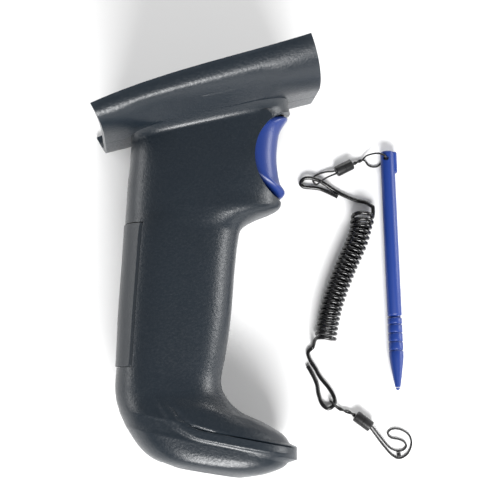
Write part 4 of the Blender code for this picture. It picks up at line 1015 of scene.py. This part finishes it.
def add_upper_string():
    """String from the bead through the cord's eye, back, and hitched to the stylus."""
    loop = [(-19.0, -6.6, 2.5)] + UPPER_LOOP_ROUTE[:-1] + [(-23.3, -9.9, 2.2), (-19.0, -7.9, 2.0)]
    axis = [(-16.0, -5.6, 2.2), (-13.6, -4.4, 1.5), (-11.4, -3.4, 1.2), (-9.8, -2.8, 1.3)]
    first = twisted(axis, 1.5, 0.0)
    second = twisted(axis, 1.5, math.pi)
    route = loop + first[1::3] + HITCH_HIGH[1:] + HITCH_LOW[:-1] + second[::-1][1::3]
    points = [tuple(table_point(p)) for p in smooth_route(route, 0.5)]
    string = tube("upper_string", points, STRING_DIAMETER, STRING_BLACK, 3)
    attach(string, "stylus_set")
    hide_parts("string_at_stylus", "string_loop_upper")
    bead = make("upper_bead", bead_shape(*UPPER_BEAD), SET, BLACK)
    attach(bead, "stylus_set")
    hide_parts("bead_upper")


def add_lower_string():
    """String hitched to the cord's lower eye, through the bead, ending in a free loop."""
    axis = [(-23.6, -113.6, 1.2), (-21.6, -114.4, 1.0), (-19.4, -115.2, 1.4), (-16.6, -116.8, 2.1)]
    first = twisted(axis[::-1], 1.0, 0.0)
    second = twisted(axis[::-1], 1.0, math.pi)
    loop = [(-13.0, -119.2, 2.0)] + LOWER_LOOP_ROUTE[:-1] + [(-9.6, -121.5, 2.3), (-12.4, -119.6, 2.4)]
    route = first[1::3] + EYE_HITCH + second[::-1][1::3] + loop
    points = [tuple(table_point(p)) for p in smooth_route(route, 0.5)]
    string = tube("lower_string", points, STRING_DIAMETER, STRING_BLACK, 3)
    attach(string, "stylus_set")
    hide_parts("string_at_eye", "string_loop_lower")
    bead = make("lower_bead", bead_shape(*LOWER_BEAD), SET, BLACK)
    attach(bead, "stylus_set")
    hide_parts("bead_lower")
    start = Vector(LOOP_SLEEVE[0])
    end = Vector(LOOP_SLEEVE[1])
    length = (end - start).length
    radius = LOOP_SLEEVE_RADIUS
    profile = [(0.0, radius - 0.25), (0.1, radius - 0.06), (0.25, radius), (length - 0.25, radius),
               (length - 0.1, radius - 0.06), (length, radius - 0.25)]
    sleeve = make("string_sleeve", laid_between(profile, 24, start, end), SET, BLACK)
    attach(sleeve, "stylus_set")
    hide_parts("loop_sleeve")


# ---------------------------------------------------------------- stylus

STYLUS_RADIUS = STYLUS_DIAMETER / 2
STYLUS_SPLIT = STYLUS_LENGTH - STYLUS_NOSE_LENGTH


def add_barrel():
    """Barrel of the stylus, with its rounded top, its lug and its cord hole."""
    radius = STYLUS_RADIUS
    split = STYLUS_SPLIT
    profile = [(0.0, radius - 1.6)]
    for step in range(7):
        angle = math.pi / 2 * step / 6
        height = radius - CROWN_ROUNDING + CROWN_ROUNDING * math.sin(angle)
        profile.append((CROWN_ROUNDING * (1 - math.cos(angle)), height))
    profile += [(split - 1.1, radius), (split - 0.8, radius - 0.15), (split - 0.5, radius - WAIST_DEPTH),
                (split, radius - WAIST_DEPTH)]
    barrel = make("stylus_body", turned(profile, 48), STYLUS, STYLUS_BLUE)
    lug = box((0.1, radius - LUG_DEPTH, -LUG_HALF_WIDTH), (LUG_LENGTH, radius + LUG_PROUD, LUG_HALF_WIDTH))
    bmesh.ops.bevel(lug, geom=lug.edges[:], offset=LUG_ROUNDING, segments=4, profile=0.5, affect="EDGES")
    high = (CORD_HOLE_ALONG, -CORD_HOLE_HIGH, radius + 1.0)
    low = (CORD_HOLE_ALONG, -CORD_HOLE_LOW, -radius - 1.0)
    hole = cylinder(STYLUS_HOLE_RADIUS, low, high, 32)
    carve(barrel, [("UNION", lug), ("DIFFERENCE", hole)], STYLUS)
    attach(barrel, "stylus_set")
    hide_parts("stylus_barrel")


def add_nose():
    """Nose of the stylus: rings for the fingers, then a taper."""
    radius = STYLUS_RADIUS
    split = STYLUS_SPLIT
    profile = [(split + TOUCH_GAP, radius - WAIST_DEPTH), (split + 0.6, radius - 0.12), (split + 0.9, radius)]
    for number in range(RING_COUNT):
        at = split + RING_FIRST + RING_PITCH * number
        profile += [(at - 0.55, radius), (at - 0.35, radius - 0.08), (at - 0.2, radius - RING_DEPTH),
                    (at + 0.2, radius - RING_DEPTH), (at + 0.35, radius - 0.08), (at + 0.55, radius)]
    start = STYLUS_LENGTH - TAPER_LENGTH
    end = STYLUS_LENGTH - TIP_LENGTH
    for step in range(13):
        share = step / 12
        curve = (radius - STYLUS_NIB_RADIUS - TIP_RIM) * (1 - share ** TAPER_POWER)
        profile.append((start + (end - start) * share, STYLUS_NIB_RADIUS + TIP_RIM + curve))
    nose = make("stylus_front", turned(profile, 48), STYLUS, STYLUS_BLUE)
    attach(nose, "stylus_set")
    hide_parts("stylus_nose")


def add_nib():
    """Rounded tip of the stylus."""
    tip = STYLUS_LENGTH - TIP_LENGTH + TOUCH_GAP
    reach = STYLUS_LENGTH - tip
    profile = [(tip, STYLUS_NIB_RADIUS)]
    for step in range(1, 9):
        angle = math.pi / 2 * step / 8.3
        profile.append((tip + reach * math.sin(angle), STYLUS_NIB_RADIUS * math.cos(angle)))
    nib = make("stylus_tip", turned(profile, 32), STYLUS, STYLUS_BLUE)
    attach(nib, "stylus_set")
    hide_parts("stylus_nib")


# ---------------------------------------------------------------- handle

def smooth_stations(stations, steps=4):
    """More slices between the given ones, on a smooth curve through them."""
    rows = [(*s[0], *s[1], s[2]) for s in stations]
    padded = [rows[0]] + rows + [rows[-1]]
    out = []
    for a, b, c, d in zip(padded, padded[1:], padded[2:], padded[3:]):
        for i in range(steps):
            row = [on_curve(*values, i / steps) for values in zip(a, b, c, d)]
            out.append(((row[0], row[1]), (row[2], row[3]), row[4]))
    out.append(stations[-1])
    return out


def plain_neck(stations):
    """Neck slices at the grip's own width, without their flare."""
    return [(back, front, min(half, NECK_HALF)) for back, front, half in stations]


def share_of(x):
    """Share of the tray's length, front to rear, at a place in the side view."""
    return min(max((TRAY_FRONT_X - x) / (TRAY_LENGTH * math.cos(TRAY_SLOPE)), 0.0), 1.0)


def rolled(share, level, half):
    """Half width of the tray at a level (share of its depth), drawn in where the neck runs into it."""
    front = smooth_step(ROLL_FRONT[0], ROLL_FRONT[1], share)
    rear = 1.0 - smooth_step(ROLL_REAR[0], ROLL_REAR[1], share)
    blend = front * rear
    if blend <= 0.0 or level >= ROLL_END:
        return half
    end = full_half_width(share, ROLL_END)
    before = full_half_width(share, ROLL_END - ROLL_STEP)
    along = max((level - ROLL_START) / (ROLL_END - ROLL_START), 0.0)
    slope = (end - before) / ROLL_STEP * (ROLL_END - ROLL_START) / (end - NECK_HALF)
    curve = (3 - slope) * along ** 2 + (slope - 2) * along ** 3
    return half + (NECK_HALF + (end - NECK_HALF) * curve - half) * blend


def smooth_step(low, high, value):
    """Smooth rise from 0 to 1 between two values."""
    share = min(max((value - low) / (high - low), 0.0), 1.0)
    return share * share * (3 - 2 * share)


def full_half_width(share, level):
    """Half width of the tray's own section at a level above its underside (share of its depth)."""
    power = 2.0 + share
    bulge = (1 - (1 - level) ** power) ** (1 / power)
    return TRAY_FLAT_WIDTH / 2 + (TRAY_WIDTH - TRAY_FLAT_WIDTH) / 2 * bulge


def flared(ring):
    """Ring of the neck with its sides carried out to the tray."""
    out = []
    for x, y, z in ring:
        share = share_of(x)
        under, rim = tray_edge(share)
        depth = (rim - under).length * math.cos(TRAY_REAR_LEAN - TRAY_SLOPE)
        level = (z - under_tray(x, 0.0)[1]) * math.cos(TRAY_SLOPE) / depth
        if level > ROLL_START:
            y *= rolled(0.5, min(level, 0.3), NECK_HALF) / NECK_HALF
        out.append((x, y, z))
    return out


def side_of(line, x, z):
    """Signed distance of a side-view point from a line, positive above it."""
    best, sign = None, 1.0
    for (ax, az), (bx, bz) in zip(line, line[1:]):
        run = Vector((bx - ax, bz - az))
        share = min(max(Vector((x - ax, z - az)).dot(run) / run.length_squared, 0.0), 1.0)
        offset = Vector((x - ax, z - az)) - run * share
        if best is None or offset.length < best:
            best, sign = offset.length, run.x * offset.y - run.y * offset.x
    return -best if sign > 0 else best


BAND_TOP_LINE = [(p[0], p[1]) for p in smooth_route([(x, z, 0.0) for x, z in BAND_TOP], 2.0)]
BAND_LOW_LINE = [(p[0], p[1]) for p in smooth_route([(x, z, 0.0) for x, z in BAND_LOW], 2.0)]


def banded(ring):
    """Ring of the foot with its sides carried out along the raised band."""
    out = []
    for x, y, z in ring:
        if z < BAND_FADE[1] and abs(y) > BAND_INNER:
            fade = 1.0 - smooth_step(BAND_FADE[0], BAND_FADE[1], z)
            over = side_of(BAND_TOP_LINE, x, z)
            under = side_of(BAND_LOW_LINE, x, z)
            crisp = 0.35 + 2.2 * smooth_step(40.0, 18.0, x)
            raised = (1 - smooth_step(-crisp, crisp, over)) * smooth_step(-0.7, 0.7, under)
            wall = 1 - smooth_step(-crisp, crisp, over)
            sunk = smooth_step(-14.0, -1.0, over)
            lift = fade * (BAND_PROUD * raised + BAND_STEP * wall - BAND_STEP * sunk)
            y += math.copysign(lift * min(1.0, (abs(y) - BAND_INNER) / BAND_BLEND), y)
        out.append((x, y, z))
    return out


def foot_slices():
    """Slices of the foot with a plain side and the lip round its toe."""
    foot = foot_stations()
    side = foot[3][2]
    smooth = [(back, front, min(half, side)) for back, front, half in foot]
    below = smooth_stations(smooth[:4], 8)
    lip = smooth_stations([smooth[4], smooth[5]], 10)
    above = smooth_stations(smooth[6:9], 8)
    slices = below[:-1] + between(smooth[3], smooth[4]) + lip + between(smooth[5], smooth[6]) + above
    return slices, smooth[8:]


def between(lower, upper, steps=3):
    """A few slices on the short step between two slices."""
    out = []
    for i in range(steps):
        share = i / steps
        rows = zip((*lower[0], *lower[1], lower[2]), (*upper[0], *upper[1], upper[2]))
        row = [a + (b - a) * share for a, b in rows]
        out.append(((row[0], row[1]), (row[2], row[3]), row[4]))
    return out


def outer_form():
    """Outer form of foot, grip and neck."""
    low, foot_top = foot_slices()
    neck = plain_neck(neck_stations()[:-1])
    back, front = Vector(neck[-1][0]), Vector(neck[-1][1])
    lift = Vector((-math.sin(TRAY_SLOPE), math.cos(TRAY_SLOPE)))
    for height in (2.0, 4.0, 6.0):
        neck.append((tuple(back + lift * height), tuple(front + lift * height), NECK_HALF))
    high = smooth_stations(foot_top + grip_stations() + neck, 6)
    rings = [section(*station) for station in low[:-1] + high]
    return loft([flared(banded(ring)) for ring in rings])


def hollow_form():
    """Hollow of foot, grip and neck."""
    stations = smooth_stations(foot_stations()[6:] + grip_stations() + plain_neck(neck_stations()[:6]), 2)
    return loft([section(*inset(station, WALL), count=56) for station in stations])


def tray_rings(drawn_in, floor, lift):
    """Rings of the tray from front to rear."""
    rings = []
    for i in range(TRAY_SLICES + 1):
        share = i / TRAY_SLICES
        half, rim, down = tray_half_section(share, drawn_in, floor)
        under = tray_edge(share)[0]
        depth = (under - rim).length
        for number in range(1, len(half)):
            across, spot = half[number]
            level = 1.0 - (spot - rim).length / depth
            outer = full_half_width(share, max(level, 0.0))
            place = across + rolled(share, level, outer) - outer
            if drawn_in:
                place = max(place, min(across, FLOOR_HALF))
            half[number] = (place, spot)
        if lift:
            half.append((half[-1][0], rim - down * lift))
        right = [(p.x, -across, p.y) for across, p in half]
        left = [(p.x, across, p.y) for across, p in reversed(half[1:])]
        rings.append(right + left)
    return rings


def tray_form():
    """Solid outer form of the tray."""
    return loft(tray_rings(0.0, 0.0, 0.0))


def trough_form():
    """Space inside the tray, run past both ends and above the rim."""
    rings = tray_rings(WALL, TRAY_FLOOR, 8.0)
    along = Vector((math.cos(TRAY_SLOPE), 0.0, math.sin(TRAY_SLOPE)))
    front = [tuple(Vector(p) + along * 4.0) for p in rings[0]]
    rear = [tuple(Vector(p) - along * 4.0) for p in rings[-1]]
    return loft([front] + rings + [rear])


def strap_shape(outward, inward, margin, spread=1.0):
    """Strip along the back of the grip, following the grip's slices."""
    high = HEAD_Z - STRAP_DROP + margin
    low = high - STRAP_LENGTH - 2 * margin
    stations = smooth_stations(foot_stations()[8:] + grip_stations())
    levels = [low + (high - low) * i / 20 for i in range(21)]
    width = STRAP_WIDTH + 2 * margin
    slices = [station_at(stations, level) for level in levels]
    return loft([strap_ring(slice_at, outward, inward, width, spread) for slice_at in slices])


def add_shell(name, side):
    """One half of the handle, from the foot to the tray's rim."""
    shell = make(name, outer_form(), HANDLE, SLATE)
    steps = [("UNION", tray_form()), ("DIFFERENCE", hollow_form())]
    posts = shell_posts(side) + board_ribs(side)
    for post in posts:
        for vert in post.verts:
            vert.co.y = max(-POST_LIMIT, min(POST_LIMIT, vert.co.y))
    steps += [("UNION", post) for post in posts]
    steps.append(("DIFFERENCE", trough_form()))
    steps += [("DIFFERENCE", cutter) for cutter in shell_cuts().values()]
    reach = TRAY_WIDTH
    near, far = sorted((side * SEAM_HALF_GAP, side * reach))
    steps.append(("INTERSECT", box((-reach, near, -reach), (2 * reach, far, 3 * reach))))
    carve(shell, steps, HANDLE)
    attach(shell, "handle")
    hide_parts(name.replace("_half", "_shell"))


def add_strap():
    """Back strap."""
    strap = make("back_strip", strap_shape(STRAP_PROUD, STRAP_THICKNESS, 0.0), HANDLE, STRAP)
    soften(strap, 0.25)
    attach(strap, "handle")
    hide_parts("back_strap")


def fine_trigger_ring(front, rear, room, points=20):
    """Slanted slice of the trigger: straight sides that close to a rounded front."""
    side = []
    for i in range(points):
        share = math.sin(math.pi / 2 * i / points)
        x = rear[0] + (front[0] - rear[0]) * share
        z = rear[1] + (front[1] - rear[1]) * share
        side.append((x, room * (1 - share ** 3) ** (1 / 3), z))
    mirrored = [(x, -across, z) for x, across, z in reversed(side)]
    return side + [(front[0], 0.0, front[1])] + mirrored


def trigger_room_at(front, rear):
    """Half width of the trigger along one slanted slice."""
    spots = [tuple(Vector(rear).lerp(Vector(front), math.sin(math.pi / 2 * i / 8))) for i in range(8)]
    return min(min(trigger_room(*spot), trigger_room(*pulled(*spot))) for spot in spots)


def add_trigger():
    """Trigger with its hub and bore."""
    last = len(FINGER_CURVE) - 1
    knots = []
    for i, (forward, up) in enumerate(FINGER_CURVE):
        rear_up = TRIGGER_REAR_LOW + (TRIGGER_REAR_HIGH - TRIGGER_REAR_LOW) * i / last
        front = (GRIP_DEPTH + forward, HEAD_Z + up)
        rear = (TRIGGER_REAR_X, HEAD_Z + rear_up)
        knots.append((front, rear, trigger_room_at(front, rear)))
    slices = smooth_stations(knots, 5)
    rings = [fine_trigger_ring(front, rear, room) for front, rear, room in slices]
    trigger = make("finger_trigger", loft(rings), HANDLE, BLUE)
    x, z = TRIGGER_PIVOT
    half = TRIGGER_HUB_WIDTH / 2
    hub = cylinder(TRIGGER_HUB_RADIUS, (x, -half, z), (x, half, z), 40)
    bore = cylinder(TRIGGER_PIN_RADIUS + TOUCH_GAP, (x, -half - 1, z), (x, half + 1, z), 24)
    start, end = SPRING_PLACE
    room = cylinder(TRIGGER_HUB_RADIUS + 2.0, (x, start - 0.8, z), (x, end + 0.8, z), 40)
    carve(trigger, [("UNION", hub), ("DIFFERENCE", bore), ("DIFFERENCE", room)], HANDLE)
    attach(trigger, "trigger")
    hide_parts("trigger")


CARRIED = {
    "sole_insert": STEEL, "lanyard_bar": STEEL, "trigger_pin": STEEL, "trigger_spring": STEEL,
    "switch_board": BOARD, "switch_body": BLACK, "switch_plunger": BLUE, "switch_lead": CORD_BLACK,
    "cradle_plate": BLACK, "contact_block": BLACK, "catch_cup": BLACK, "device_catch": BLUE,
    "catch_spring": STEEL,
}


def dress_carried():
    """Give the CAD pieces that stay their materials."""
    for name, look in CARRIED.items():
        paint(name, look)
    for number in range(1, 5):
        paint(f"contact_pin_{number}", GILT)
    for key in SHELL_SCREWS:
        paint(f"shell_screw_{key}", STEEL)
    for key in ("rear", "front"):
        paint(f"cradle_screw_{key}", STEEL)


def paint(name, look):
    """One CAD node in its material."""
    node = frame["nodes"][name]
    if node.material_slots:
        for holder in node.material_slots:
            holder.material = look
    else:
        node.data.materials.append(look)


add_camera()
add_studio()
add_coiled_cord()
add_upper_string()
add_lower_string()
add_barrel()
add_nose()
add_nib()
add_shell("right_half", -1)
add_shell("left_half", 1)
add_strap()
add_trigger()
dress_carried()
